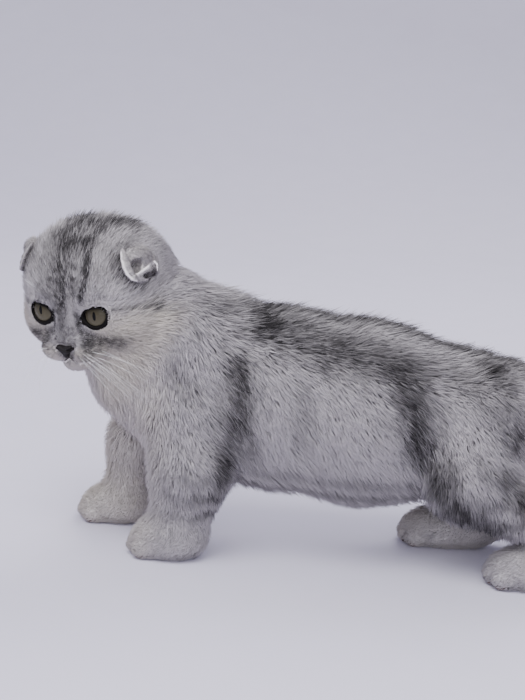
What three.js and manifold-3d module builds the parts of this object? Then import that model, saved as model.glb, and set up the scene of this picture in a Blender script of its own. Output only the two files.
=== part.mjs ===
// Scottish Fold kitten, standing in a slight crouch with its head turned to its left.
// Millimetres, +Z up. The kitten faces -X and its left side is -Y.
// All sizes run out to the tips of the coat.
import * as THREE from 'three';
import { mergeVertices } from 'three/addons/utils/BufferGeometryUtils.js';
import Module from 'manifold-3d';

const wasm = await Module();
wasm.setup();

// Driving sizes
const SEAM = 0.3; // gap between parts that touch
const TRUNK_CELL = 10; // lattice step of each part's surface
const NECK_CELL = 8.8;
const LIMB_CELL = 7.5;
const ROOM_CELL = 10;
const TAIL_CELL = 7;
const HEAD_CELL = 4.9;
const EAR_CELL = 2.3;
const NOSE_CELL = 1.9;

// Trunk and neck: centre of each section, half width and half height
const TRUNK = [
  { at: [-29, 0, 79.5], side: 32, up: 42.5 },
  { at: [8, 0, 74.5], side: 34, up: 43.5 },
  { at: [50, 0, 70.5], side: 37, up: 44 },
  { at: [96, 0, 68.5], side: 32, up: 38 },
];
const NECK = [
  { at: [-30, 0, 94], side: 29, up: 33 },
  { at: [-64, -4, 112], side: 29, up: 30 },
];
const BREAST = { at: [-60, -4, 86], radii: [23, 23, 27] };
const TRUNK_BLEND = 10;

// Head: place, turn to its left, tip down and tilt, then forms in its own frame (forward, left, up)
const HEAD_AT = [-79, -8, 119.5];
const HEAD_TURN = 65;
const HEAD_TIP = 11;
const HEAD_TILT = 4;
const HEAD_BLEND = 5;
const SKULL = { at: [-4, 0, 4], radii: [32, 36.5, 32.4], power: 2.3 };
const CHEEK = { at: [4, 16.5, -9.5], radii: [19, 19.5, 16.5] };
const WHISKER_PAD = { at: [22.8, 8.2, -18.4], radii: [8.4, 8.4, 6.8] };
const CHIN = { at: [20, 0, -25], radii: [8.5, 7.5, 5.5] };
const BRIDGE_TOP = { at: [19, 0, 4], side: 8, up: 8 };
const BRIDGE_TIP = { at: [26.3, 0, -13], side: 5.2, up: 4.2 };

// Eyes, in the head's frame
const EYE_AT = [17.1, 14.2, -2.4];
const EYE_RADIUS = 8.4;
const EYE_TURN = 9; // degrees outwards
const SOCKET_DISH = { at: [31.5, 15.7, -2.8], radii: [8.5, 10.5, 8] };
const LID_HALF_WIDTH = 6.8;
const LID_HALF_HEIGHT = 5.3;
const LID_THICKNESS = 1.5;
const LID_RISE = 1.6; // how far the lids' edge stands out over the eyeball
const LID_SLANT = 12; // degrees, outer corner up

// Nose, mouth and ears, in the head's frame
const NOSE_AT = [30.1, 0, -17.2];
const NOSE_WING = { at: [0, 3, 1.2], radii: [2.3, 2.1, 1.5] };
const NOSE_MIDDLE = { at: [0.3, 0, 0.4], radii: [2.5, 3.3, 2.1] };
const NOSE_TIP = { at: [-0.3, 0, -1.9], radii: [2, 1.5, 2.4] };
const NOSTRIL = { at: [1.9, 3.3, 0.6], radii: [1.9, 1.2, 0.8] };
const NOSE_REACH = 8;
const MOUTH = [[0, -21.8], [2.8, -23.8], [6.6, -25], [10.6, -24.6]]; // left and up of each point
const LIP_RADIUS = 1.2;
const MOUTH_LINE_RADIUS = 0.55;

// Folded ears: where each sits in the head's frame, with the right one held closer to the skull, then
// forms in their own frame (outward, back, up)
const EARS = [
  { name: 'left', side: 1, at: [8, 29, 17], sink: 0 },
  { name: 'right', side: -1, at: [9.5, 28.5, 15.5], sink: 3 },
];
const EAR_FLAP = { at: [0, 0, 0.5], radii: [4.6, 10.5, 9] };
const EAR_FOLD = { at: [2.4, 1.5, 4.5], radii: [3.2, 6, 4.5] };
const EAR_CUP = { at: [4.8, -1.8, -1.4], radii: [4, 4, 3.8] };
const EAR_OPENING = { at: [4.6, 5, -4.6], radii: [4, 3.2, 3] };

// Legs: joints with their half widths, the muscle that joins each to the trunk, the paw and its cut
const LEGS = [
  {
    names: ['foreleg_left_upper', 'foreleg_left_lower', 'forepaw_left'],
    joints: [
      { at: [-32, -21, 66], side: 17, up: 24 },
      { at: [-29, -24, 44], side: 16, up: 19 },
      { at: [-33, -24.5, 16], side: 13.5, up: 15 },
    ],
    muscle: { at: [-28, -31, 62], radii: [26, 19, 28] },
    paw: { at: [-38, -24.5, 8], radii: [18, 14.5, 10.5] },
    ankle: { at: [-33, -24.5, 15], normal: [0, 0, -1] },
  },
  {
    names: ['foreleg_right_upper', 'foreleg_right_lower', 'forepaw_right'],
    joints: [
      { at: [-45, 20, 66], side: 16, up: 22 },
      { at: [-59, 21, 44], side: 14, up: 15 },
      { at: [-63, 21, 16], side: 12.5, up: 13 },
    ],
    muscle: { at: [-49, 29, 60], radii: [28, 20, 28] },
    paw: { at: [-69, 21, 8], radii: [18, 14, 10.5] },
    ankle: { at: [-63, 21, 15], normal: [0, 0, -1] },
  },
  {
    names: ['hindleg_left_thigh', 'hindleg_left_shank', 'hindpaw_left'],
    joints: [
      { at: [108, -19, 76], side: 16, up: 27 },
      { at: [101, -27, 50], side: 14, up: 22 },
      { at: [126, -27, 38], side: 11.5, up: 15 },
      { at: [152, -27, 31], side: 9.5, up: 11 },
      { at: [146, -27, 18], side: 9.5, up: 10 },
      { at: [134, -27, 9], side: 11, up: 9.5 },
    ],
    muscle: { at: [101, -34, 62], radii: [34, 23, 38] },
    paw: { at: [130, -27, 8], radii: [18, 14, 10] },
    ankle: { at: [148, -27, 24], normal: [0.35, 0, -0.94] },
  },
  {
    names: ['hindleg_right_thigh', 'hindleg_right_shank', 'hindpaw_right'],
    joints: [
      { at: [104, 19, 74], side: 16, up: 26 },
      { at: [88, 26, 46], side: 14, up: 22 },
      { at: [106, 25, 31], side: 12, up: 14 },
      { at: [124, 24, 18], side: 10, up: 11 },
      { at: [110, 24, 10], side: 10.5, up: 9.5 },
      { at: [96, 24, 9], side: 11, up: 9.5 },
    ],
    muscle: { at: [94, 33, 58], radii: [34, 23, 38] },
    paw: { at: [92, 24, 8], radii: [18, 14, 10] },
    ankle: { at: [108, 24, 19], normal: [-0.33, 0, -0.94] },
  },
];
const LEG_BLEND = 9;
const ROOT_MARGIN = 3; // how far a limb's own part runs out over the trunk

// Toes, from the paw's middle towards -X
const TOE_SPREAD = [-9.2, -3.3, 3.3, 9.2];
const TOE_REACH = [9.5, 12.5, 12.5, 9.5];
const TOE_RADII = [6.5, 3.9, 5];
const TOE_HEIGHT = 5;

// Tail, from root to tip, and the cuts between its lengths
const TAIL = [
  { at: [118, 0, 88], side: 13.5, up: 13.5 },
  { at: [134, 1, 76], side: 12, up: 12 },
  { at: [150, 3, 58], side: 10.5, up: 10.5 },
  { at: [168, 6, 42], side: 10, up: 10 },
  { at: [192, 9, 33], side: 9, up: 9 },
  { at: [216, 11, 35], side: 6.5, up: 6.5 },
  { at: [227, 12, 39], side: 4, up: 4 },
];
const TAIL_BLEND = 5;
const TAIL_CUTS = [
  { at: [158, 4, 50], normal: [0.75, 0.1, -0.65] },
  { at: [194, 9, 33], normal: [1, 0, 0] },
];

// Cuts between head, neck, chest, belly and rump: a point and the way towards the tail
const HEAD_CUT = { at: [-54, -3, 106], normal: [0.85, 0.15, -0.5] };
const NECK_CUT = { at: [-40, 0, 98], normal: [0.72, 0, -0.69] };
const CHEST_CUT = { at: [14, 0, 75], normal: [1, 0, 0] };
const RUMP_CUT = { at: [66, 0, 70], normal: [1, 0, 0] };
const SIDES = [1, -1]; // left, right
const DISH_BLEND = 4;
const EAR_BLEND = 3;
const EAR_EDGE = 0.5; // roundness of the ear cup's edge
const EAR_REACH = 19;
const REACH = 36; // room left round a limb when it is wrapped
const BEYOND = 700; // longer than the whole kitten
const SLOPE_STEP = 0.05;
const WELD = 0.004;
const LEAST_STEEPNESS = 0.3;
const STEPS = [[1, 0, 0], [0, 1, 0], [0, 0, 1]]; // one lattice step along each axis
const HEAD_LOW = [-50, -62, -64]; // the head's own box
const HEAD_HIGH = [44, 44, 46];

// Colours of the coat, skin and eyes
const COAT = { color: 0xb4b3b6, roughness: 0.95 };
const COAT_DARK = { color: 0x7e7d82, roughness: 0.95 };
const COAT_PALE = { color: 0xd9d4cb, roughness: 0.95 };
const NOSE_LEATHER = { color: 0x2a2526, roughness: 0.5 };
const EYE_GLASS = { color: 0x6d6a4c, roughness: 0.08 };

// Distance functions: negative inside, positive outside

// An ellipsoid, squarer where its power is more than 2
function ellipsoidField({ at, radii, power = 2 }) {
  const [ax, ay, az] = at;
  const [rx, ry, rz] = radii;
  return (x, y, z) => {
    const px = Math.abs(x - ax) / rx;
    const py = Math.abs(y - ay) / ry;
    const pz = Math.abs(z - az) / rz;
    const reach = (px ** power + py ** power + pz ** power) ** (1 / power);
    const slope = Math.hypot(px / rx, py / ry, pz / rz);
    return slope < 1e-9 ? -Math.min(rx, ry, rz) : (reach * (reach - 1)) / slope;
  };
}

// A round bar from one station to the next, its half width and half height changing evenly
function barField(start, end) {
  const [ax, ay, az] = start.at;
  const [dx, dy, dz] = end.at.map((value, axis) => value - start.at[axis]);
  const lengthSquared = dx * dx + dy * dy + dz * dz;
  return (x, y, z) => {
    const along = ((x - ax) * dx + (y - ay) * dy + (z - az) * dz) / lengthSquared;
    const t = Math.min(1, Math.max(0, along));
    const side = start.side + (end.side - start.side) * t;
    const up = start.up + (end.up - start.up) * t;
    const across = (y - ay - dy * t) / side;
    const reach = Math.hypot(across, (x - ax - dx * t) / up, (z - az - dz * t) / up);
    return (reach - 1) * Math.min(side, up);
  };
}

function blendFields(fields, blend) {
  return (x, y, z) => {
    let nearest = fields[0](x, y, z);
    for (let i = 1; i < fields.length; i += 1) {
      const next = fields[i](x, y, z);
      const mix = Math.max(blend - Math.abs(nearest - next), 0) / blend;
      nearest = Math.min(nearest, next) - (mix * mix * blend) / 4;
    }
    return nearest;
  };
}

function carveField(field, cutter, blend) {
  return (x, y, z) => {
    const kept = field(x, y, z);
    const cut = -cutter(x, y, z);
    const mix = Math.max(blend - Math.abs(kept - cut), 0) / blend;
    return Math.max(kept, cut) + (mix * mix * blend) / 4;
  };
}

function chainField(stations, blend) {
  const bars = [];
  for (let i = 1; i < stations.length; i += 1) {
    bars.push(barField(stations[i - 1], stations[i]));
  }
  return blendFields(bars, blend);
}

function mirrored({ at: [forward, left, up], radii, power }, side) {
  return { at: [forward, left * side, up], radii, power };
}

// A field kept inside a box
function boxedField(field, low, high) {
  return (x, y, z) => {
    const outside = [x, y, z].map((value, axis) => Math.max(low[axis] - value, value - high[axis]));
    return Math.max(field(x, y, z), ...outside);
  };
}

// The surface of a field as a closed mesh: one corner in each crossed cell of a lattice
function wrapField(whole, low, high, cell) {
  const field = boxedField(whole, low.map((value) => value + cell), high.map((value) => value - cell));
  const count = low.map((value, axis) => Math.ceil((high[axis] - value) / cell) + 1);
  const index = (i, j, k) => (k * count[1] + j) * count[0] + i;
  const values = new Float32Array(count[0] * count[1] * count[2]);
  overLattice(count, 0, (i, j, k) => {
    values[index(i, j, k)] = field(low[0] + i * cell, low[1] + j * cell, low[2] + k * cell);
  });
  unpinch(values, index, count);
  const corners = [];
  const cornerOf = new Map();
  const cornerIn = (i, j, k) => {
    const key = index(i, j, k);
    if (!cornerOf.has(key)) {
      const middle = cellMiddle(values, index, [i, j, k]).map((value, axis) => low[axis] + value * cell);
      cornerOf.set(key, corners.length);
      corners.push(settle(field, middle, cell));
    }
    return cornerOf.get(key);
  };
  const faces = [];
  overLattice(count, 1, (i, j, k) => {
    const inside = values[index(i, j, k)] < 0;
    STEPS.forEach(([di, dj, dk], axis) => {
      if (inside === values[index(i + di, j + dj, k + dk)] < 0) {
        return;
      }
      const b = STEPS[(axis + 1) % 3];
      const c = STEPS[(axis + 2) % 3];
      const ring = [[0, 0], [1, 0], [1, 1], [0, 1]].map(([s, t]) =>
        cornerIn(i - s * b[0] - t * c[0], j - s * b[1] - t * c[1], k - s * b[2] - t * c[2]));
      faces.push(...splitQuad(corners, inside ? ring : ring.reverse()));
    });
  });
  const geometry = new THREE.BufferGeometry();
  geometry.setAttribute('position', new THREE.Float32BufferAttribute(corners.flat(), 3));
  geometry.setIndex(faces);
  return geometry;
}

function overLattice(count, border, visit) {
  for (let k = border; k < count[2] - border; k += 1) {
    for (let j = border; j < count[1] - border; j += 1) {
      for (let i = border; i < count[0] - border; i += 1) {
        visit(i, j, k);
      }
    }
  }
}

// A lattice square with alternate signs would make the surface touch itself: its corner nearest
// to the surface changes side
function unpinch(values, index, count) {
  for (let pass = 0; pass < 3; pass += 1) {
    overLattice(count, 1, (i, j, k) => {
      STEPS.forEach((b, axis) => {
        const c = STEPS[(axis + 1) % 3];
        const square = [[0, 0], [1, 0], [1, 1], [0, 1]].map(([s, t]) =>
          index(i + s * b[0] + t * c[0], j + s * b[1] + t * c[1], k + s * b[2] + t * c[2]));
        const inside = square.map((at) => values[at] < 0);
        if (inside[0] === inside[2] && inside[1] === inside[3] && inside[0] !== inside[1]) {
          const nearer = (best, at) => (Math.abs(values[at]) < Math.abs(values[best]) ? at : best);
          values[square.reduce(nearer)] *= -1;
        }
      });
    });
  }
}

// Mean of the points where the field changes sign on a cell's edges, in cells
function cellMiddle(values, index, [i, j, k]) {
  const sum = [0, 0, 0];
  let crossings = 0;
  for (let axis = 0; axis < 3; axis += 1) {
    for (let s = 0; s < 2; s += 1) {
      for (let t = 0; t < 2; t += 1) {
        const start = [i, j, k];
        start[(axis + 1) % 3] += s;
        start[(axis + 2) % 3] += t;
        const end = [...start];
        end[axis] += 1;
        const from = values[index(...start)];
        const to = values[index(...end)];
        if (from < 0 === to < 0) {
          continue;
        }
        start[axis] += from / (from - to);
        start.forEach((value, at) => {
          sum[at] += value;
        });
        crossings += 1;
      }
    }
  }
  return sum.map((value) => value / crossings);
}

// Moves a point on to the field's surface, at most a part of a cell
function settle(field, [x, y, z], cell) {
  const slope = slopeOf(field, [x, y, z]);
  const steepness = Math.max(slope[0] ** 2 + slope[1] ** 2 + slope[2] ** 2, LEAST_STEEPNESS);
  const limit = cell / 3;
  const shift = Math.min(limit, Math.max(-limit, -field(x, y, z) / steepness));
  return [x + slope[0] * shift, y + slope[1] * shift, z + slope[2] * shift];
}

// How fast a field grows along each axis at a point
function slopeOf(field, [x, y, z]) {
  const h = SLOPE_STEP;
  return [
    field(x + h, y, z) - field(x - h, y, z),
    field(x, y + h, z) - field(x, y - h, z),
    field(x, y, z + h) - field(x, y, z - h),
  ].map((difference) => difference / (2 * h));
}

function splitQuad(corners, [a, b, c, d]) {
  const gap = (p, q) => Math.hypot(...corners[p].map((value, axis) => value - corners[q][axis]));
  return gap(a, c) < gap(b, d) ? [a, b, c, a, c, d] : [a, b, d, b, c, d];
}

// Solids

function solidOf(geometry) {
  const bare = geometry.clone();
  bare.deleteAttribute('normal');
  bare.deleteAttribute('uv');
  const merged = mergeVertices(bare, 1e-4);
  return new wasm.Manifold(new wasm.Mesh({
    numProp: 3,
    vertProperties: new Float32Array(merged.attributes.position.array),
    triVerts: new Uint32Array(merged.index.array),
  }));
}

function geometryOf(solid) {
  const mesh = solid.getMesh();
  const geometry = new THREE.BufferGeometry();
  geometry.setAttribute('position', new THREE.Float32BufferAttribute(mesh.vertProperties, 3));
  geometry.setIndex([...mesh.triVerts]);
  return geometry;
}

function largestBody(solid) {
  const bodies = solid.decompose();
  return bodies.reduce((best, body) => (body.volume() > best.volume() ? body : best));
}

function ballSolid({ at, radii }, grow = 0, around = 16) {
  const geometry = new THREE.SphereGeometry(1, around, Math.round(around * 0.7));
  geometry.scale(...radii.map((radius) => radius + grow));
  geometry.translate(...at);
  return solidOf(geometry);
}

// A solid with every corner moved outwards
function swollen(solid, grow) {
  const geometry = geometryOf(solid);
  geometry.computeVertexNormals();
  const { position, normal } = geometry.attributes;
  for (let i = 0; i < position.array.length; i += 1) {
    position.array[i] += normal.array[i] * grow;
  }
  return solidOf(geometry);
}

// Everything past a plane, on the side that its normal points to
function beyondPlane(point, normal) {
  const geometry = new THREE.BoxGeometry(BEYOND, BEYOND, BEYOND);
  geometry.translate(0, 0, BEYOND / 2);
  const turn = new THREE.Quaternion().setFromUnitVectors(new THREE.Vector3(0, 0, 1), normal);
  geometry.applyQuaternion(turn);
  geometry.translate(point.x, point.y, point.z);
  return solidOf(geometry);
}

// Cuts a solid in two with a thin gap and gives the part before the plane and the part past it
function halves(solid, { at, normal }) {
  const way = new THREE.Vector3(...normal).normalize();
  const point = new THREE.Vector3(...at);
  const nearFace = point.clone().addScaledVector(way, -SEAM / 2);
  const farFace = point.clone().addScaledVector(way, SEAM / 2);
  const before = solid.subtract(beyondPlane(nearFace, way));
  const past = solid.subtract(beyondPlane(farFace, way.clone().negate()));
  return [largestBody(before), largestBody(past)];
}

function wrapSolid(field, low, high, cell) {
  return solidOf(wrapField(field, low, high, cell));
}

// A tube of few sides along a curve through points
function tubeSolid(points, radius, steps) {
  const sides = 6;
  const corners = [];
  for (let i = 0; i < sides; i += 1) {
    const angle = (i / sides) * Math.PI * 2;
    corners.push(new THREE.Vector2(Math.cos(angle) * radius, Math.sin(angle) * radius));
  }
  const path = new THREE.CatmullRomCurve3(points.map((point) => new THREE.Vector3(...point)));
  const options = { steps, bevelEnabled: false, extrudePath: path };
  return solidOf(new THREE.ExtrudeGeometry(new THREE.Shape(corners), options));
}

// Head: its frame and its forms

function headFrame() {
  const [turn, tip, tilt] = [HEAD_TURN, HEAD_TIP, HEAD_TILT].map(THREE.MathUtils.degToRad);
  const forward = new THREE.Vector3(
    -Math.cos(turn) * Math.cos(tip),
    -Math.sin(turn) * Math.cos(tip),
    -Math.sin(tip),
  );
  const level = new THREE.Vector3(Math.sin(turn), -Math.cos(turn), 0);
  const left = level.clone().applyAxisAngle(forward, tilt);
  const up = new THREE.Vector3().crossVectors(forward, left);
  return new THREE.Matrix4().makeBasis(forward, left, up).setPosition(...HEAD_AT);
}

// A field seen through a frame: points of the outer frame are looked up in the inner one
function seenThrough(field, matrix) {
  const m = matrix.elements;
  return (x, y, z) => field(
    m[0] * x + m[4] * y + m[8] * z + m[12],
    m[1] * x + m[5] * y + m[9] * z + m[13],
    m[2] * x + m[6] * y + m[10] * z + m[14],
  );
}

function headForms() {
  const forms = [ellipsoidField(SKULL), barField(BRIDGE_TOP, BRIDGE_TIP), ellipsoidField(CHIN)];
  for (const side of SIDES) {
    forms.push(ellipsoidField(mirrored(CHEEK, side)));
    forms.push(ellipsoidField(mirrored(WHISKER_PAD, side)));
  }
  let face = blendFields(forms, HEAD_BLEND);
  for (const side of SIDES) {
    face = carveField(face, ellipsoidField(mirrored(SOCKET_DISH, side)), DISH_BLEND);
  }
  return face;
}

const headMatrix = headFrame();
const faceField = headForms();
const limbFields = LEGS.map(({ joints, paw }) =>
  blendFields([chainField(joints, LEG_BLEND), ellipsoidField(paw)], LEG_BLEND));
const trunkForms = [chainField(TRUNK, TRUNK_BLEND), chainField(NECK, TRUNK_BLEND), ellipsoidField(BREAST)];
const trunkField = blendFields(trunkForms, TRUNK_BLEND);
const tailField = chainField(TAIL, TAIL_BLEND);
const bodyField = blendFields([trunkField, ...limbFields, tailField], LEG_BLEND);
const placedFace = seenThrough(faceField, headMatrix.clone().invert());
const wholeField = blendFields([bodyField, placedFace], HEAD_BLEND);

const kitten = new THREE.Group();

// Corners closer than the weld become one, and faces that close up are dropped
function welded(geometry) {
  const merged = mergeVertices(geometry, WELD);
  const kept = [];
  for (let i = 0; i < merged.index.count; i += 3) {
    const face = [0, 1, 2].map((corner) => merged.index.getX(i + corner));
    if (new Set(face).size === face.length) {
      kept.push(...face);
    }
  }
  return merged.setIndex(kept);
}

function addPart(name, solid, finish) {
  const material = new THREE.MeshStandardMaterial({ ...finish, metalness: 0 });
  const mesh = new THREE.Mesh(welded(geometryOf(solid)), material);
  mesh.name = name;
  kitten.add(mesh);
  return mesh;
}

function aboveFloor(solid) {
  return solid.subtract(beyondPlane(new THREE.Vector3(0, 0, 0), new THREE.Vector3(0, 0, -1)));
}

// The space round a limb's own stations, a margin wider than the limb
function roomAround(stations, paws, margin) {
  const field = blendFields([chainField(stations, LEG_BLEND), ...paws.map(ellipsoidField)], LEG_BLEND);
  const [low, high] = boxAround([...stations, ...paws], REACH);
  return wrapSolid((x, y, z) => field(x, y, z) - margin, low, high, ROOM_CELL);
}

function boxAround(stations, reach) {
  const axes = [0, 1, 2];
  const low = axes.map((axis) => Math.min(...stations.map(({ at }) => at[axis])) - reach);
  const high = axes.map((axis) => Math.max(...stations.map(({ at }) => at[axis])) + reach);
  return [low, high];
}

// What one leg takes from the trunk: the muscle and the room of the lower leg
function legRooms({ joints, paw, muscle }, grow) {
  const lower = roomAround(joints.slice(1), [paw], ROOT_MARGIN);
  return [ballSolid(muscle, grow), swollen(lower, grow)];
}

function buildTrunk() {
  let trunk = wrapSolid(bodyField, [-110, -62, -6], [176, 62, 160], TRUNK_CELL);
  for (const leg of LEGS) {
    for (const room of legRooms(leg, SEAM)) {
      trunk = trunk.subtract(room);
    }
  }
  trunk = largestBody(trunk.subtract(swollen(roomAround(TAIL, [], ROOT_MARGIN), SEAM)));
  const [, body] = halves(trunk, NECK_CUT);
  const [chest, rest] = halves(body, CHEST_CUT);
  const [belly, rump] = halves(rest, RUMP_CUT);
  addPart('chest', chest, COAT);
  addPart('belly', belly, COAT);
  addPart('rump', rump, COAT);
}

function buildNeck() {
  let neck = wrapSolid(wholeField, [-122, -50, 30], [20, 46, 165], NECK_CELL);
  for (const room of LEGS.slice(0, 2).flatMap((leg) => legRooms(leg, SEAM))) {
    neck = neck.subtract(room);
  }
  const [front] = halves(largestBody(neck), NECK_CUT);
  addPart('neck', halves(front, HEAD_CUT)[1], COAT);
}

function buildTail() {
  const [low, high] = boxAround(TAIL, REACH);
  const tail = wrapSolid(bodyField, low, high, TAIL_CELL).intersect(roomAround(TAIL, [], ROOT_MARGIN));
  const [base, rest] = halves(largestBody(tail), TAIL_CUTS[0]);
  const [middle, tip] = halves(rest, TAIL_CUTS[1]);
  addPart('tail_base', base, COAT_DARK);
  addPart('tail_middle', middle, COAT_DARK);
  addPart('tail_tip', tip, COAT_DARK);
}

function toesOf({ at: [x, y] }) {
  return TOE_SPREAD.map((spread, i) => ballSolid({
    at: [x - TOE_REACH[i], y + spread, TOE_HEIGHT],
    radii: TOE_RADII,
  }, 0, 7));
}

function buildLegs() {
  for (const leg of LEGS) {
    const [low, high] = boxAround([...leg.joints, leg.paw], REACH);
    const limb = aboveFloor(wrapSolid(bodyField, low, high, LIMB_CELL));
    const [, lowerRoom] = legRooms(leg, 0);
    const upper = limb.intersect(ballSolid(leg.muscle));
    const below = limb.intersect(lowerRoom).subtract(ballSolid(leg.muscle, SEAM));
    const [lower, foot] = halves(largestBody(below), leg.ankle);
    const toes = toesOf(leg.paw).reduce((all, toe) => all.add(toe));
    const paw = aboveFloor(foot.add(toes));
    addPart(leg.names[0], largestBody(upper), COAT);
    addPart(leg.names[1], lower, COAT);
    addPart(leg.names[2], largestBody(paw), COAT_PALE);
  }
}

// Head with its sockets, lids, mouth, nose and ears

// The face's surface straight ahead of a point, in the head's frame, found in small steps from the front
function faceAt(left, up) {
  const steps = 60;
  let forward = HEAD_HIGH[0];
  for (let step = 0; step < steps; step += 1) {
    forward -= faceField(forward, left, up) / 2;
  }
  return [forward, left, up];
}

// The frame of one eye: forward along its own axis, left and up
function eyeFrame(side) {
  const turn = new THREE.Matrix4().makeRotationZ(THREE.MathUtils.degToRad(EYE_TURN * side));
  const slant = new THREE.Matrix4().makeRotationX(THREE.MathUtils.degToRad(LID_SLANT * side));
  const [forward, left, up] = EYE_AT;
  return turn.multiply(slant).setPosition(forward, left * side, up);
}

// The eye's opening as a rounded ring that lies on the eyeball
function lidRing(side) {
  const geometry = new THREE.TorusGeometry(1, 0.5, 5, 14);
  const spots = geometry.attributes.position;
  for (let i = 0; i < spots.count; i += 1) {
    const angle = Math.atan2(spots.getY(i), spots.getX(i));
    const outward = (Math.hypot(spots.getX(i), spots.getY(i)) - 1) * 2 * LID_THICKNESS;
    const left = Math.cos(angle) * (LID_HALF_WIDTH + outward);
    const up = Math.sin(angle) * (LID_HALF_HEIGHT + outward);
    const fromAxis = Math.hypot(Math.cos(angle) * LID_HALF_WIDTH, Math.sin(angle) * LID_HALF_HEIGHT);
    const depth = Math.sqrt(EYE_RADIUS ** 2 - fromAxis ** 2) + LID_RISE;
    spots.setXYZ(i, depth + spots.getZ(i) * 2 * LID_THICKNESS, left, up);
  }
  return solidOf(geometry.applyMatrix4(eyeFrame(side)));
}

// The open space in front of one eye
function eyeOpening(side) {
  const length = EYE_RADIUS * 3;
  const geometry = new THREE.CylinderGeometry(1, 1, length, 14);
  geometry.rotateZ(-Math.PI / 2);
  geometry.scale(1, LID_HALF_WIDTH, LID_HALF_HEIGHT);
  geometry.translate(length / 2, 0, 0);
  return solidOf(geometry.applyMatrix4(eyeFrame(side)));
}

// The frame of an ear on the left side: outward from the face, back and up
function earFrame({ at, sink }) {
  const outward = new THREE.Vector3(...slopeOf(faceField, at)).normalize();
  const back = new THREE.Vector3(0, 0, 1).cross(outward).normalize();
  const rise = new THREE.Vector3().crossVectors(outward, back);
  const root = new THREE.Vector3(...at).addScaledVector(outward, -faceField(...at) - sink);
  return new THREE.Matrix4().makeBasis(outward, back, rise).setPosition(root);
}

// One ear's field in the head's frame, on the right side as the mirror image of a left ear
function earField(ear, form) {
  const field = seenThrough(form, earFrame(ear).invert());
  return (x, y, z) => field(x, y * ear.side, z);
}

const earForm = blendFields([ellipsoidField(EAR_FLAP), ellipsoidField(EAR_FOLD)], EAR_BLEND);
const earHollows = blendFields([ellipsoidField(EAR_CUP), ellipsoidField(EAR_OPENING)], EAR_EDGE);
const cuppedEar = carveField(earForm, earHollows, EAR_EDGE);

function earSolid(ear, form) {
  const [low, high] = boxAround([mirrored(ear, ear.side)], EAR_REACH);
  return wrapSolid(earField(ear, form), low, high, EAR_CELL);
}

function onNose({ at, radii }) {
  return { at: at.map((value, axis) => value + NOSE_AT[axis]), radii };
}

function noseSolid() {
  const shapes = [NOSE_WING, mirrored(NOSE_WING, -1), NOSE_MIDDLE, NOSE_TIP];
  const forms = shapes.map((form) => ellipsoidField(onNose(form)));
  const [low, high] = boxAround([{ at: NOSE_AT }], NOSE_REACH);
  return wrapSolid(blendFields(forms, 1), low, high, NOSE_CELL);
}

function eyeBall(side, grow) {
  const radii = [EYE_RADIUS, EYE_RADIUS, EYE_RADIUS];
  return ballSolid(mirrored({ at: EYE_AT, radii }, side), grow, 14);
}

function nosePiece() {
  let nose = noseSolid();
  for (const side of SIDES) {
    nose = nose.subtract(ballSolid(onNose(mirrored(NOSTRIL, side)), 0, 8));
  }
  return largestBody(nose);
}

function buildHead() {
  let head = wrapSolid(seenThrough(wholeField, headMatrix), HEAD_LOW, HEAD_HIGH, HEAD_CELL);
  const place = (solid) => solidOf(geometryOf(solid).applyMatrix4(headMatrix));
  for (const ear of EARS) {
    const { name, side } = ear;
    const line = MOUTH.map(([left, up]) => faceAt(left * side, up));
    head = head.add(tubeSolid(line, LIP_RADIUS, 5)).subtract(tubeSolid(line, MOUTH_LINE_RADIUS, 5));
    head = head.add(lidRing(side)).subtract(eyeBall(side, SEAM)).subtract(eyeOpening(side));
    addPart(`eye_${name}`, place(eyeBall(side, 0)), EYE_GLASS);
    head = head.subtract(swollen(earSolid(ear, earForm), SEAM));
    addPart(`ear_${name}`, place(largestBody(earSolid(ear, cuppedEar))), COAT);
  }
  addPart('nose', place(nosePiece()), NOSE_LEATHER);
  head = head.subtract(swollen(noseSolid(), SEAM));
  addPart('head', halves(place(largestBody(head)), HEAD_CUT)[0], COAT);
}

buildTrunk();
buildNeck();
buildTail();
buildLegs();
buildHead();

// The origin lies on the floor under the middle of the kitten's box
const box = new THREE.Box3().setFromObject(kitten);
kitten.position.set(-(box.min.x + box.max.x) / 2, -(box.min.y + box.max.y) / 2, -box.min.z);

export default kitten;
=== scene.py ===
import math

import bpy
import numpy as np
from mathutils import Matrix, Vector, kdtree

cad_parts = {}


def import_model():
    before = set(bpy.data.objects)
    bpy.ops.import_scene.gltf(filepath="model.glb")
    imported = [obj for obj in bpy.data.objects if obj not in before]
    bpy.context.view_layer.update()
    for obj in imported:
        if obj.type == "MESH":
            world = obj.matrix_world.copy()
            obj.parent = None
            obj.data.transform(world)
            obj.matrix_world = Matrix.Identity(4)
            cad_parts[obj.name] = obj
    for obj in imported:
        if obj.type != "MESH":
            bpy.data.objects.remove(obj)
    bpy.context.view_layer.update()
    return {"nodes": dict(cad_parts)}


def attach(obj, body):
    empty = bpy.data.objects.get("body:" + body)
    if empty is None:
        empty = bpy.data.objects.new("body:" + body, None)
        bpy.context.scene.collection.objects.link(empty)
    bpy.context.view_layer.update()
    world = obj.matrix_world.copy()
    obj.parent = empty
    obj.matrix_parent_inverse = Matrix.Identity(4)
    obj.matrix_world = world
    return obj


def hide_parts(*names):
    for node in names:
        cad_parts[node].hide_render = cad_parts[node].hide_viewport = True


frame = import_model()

MM = 0.001
rng = np.random.default_rng(11)

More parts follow.
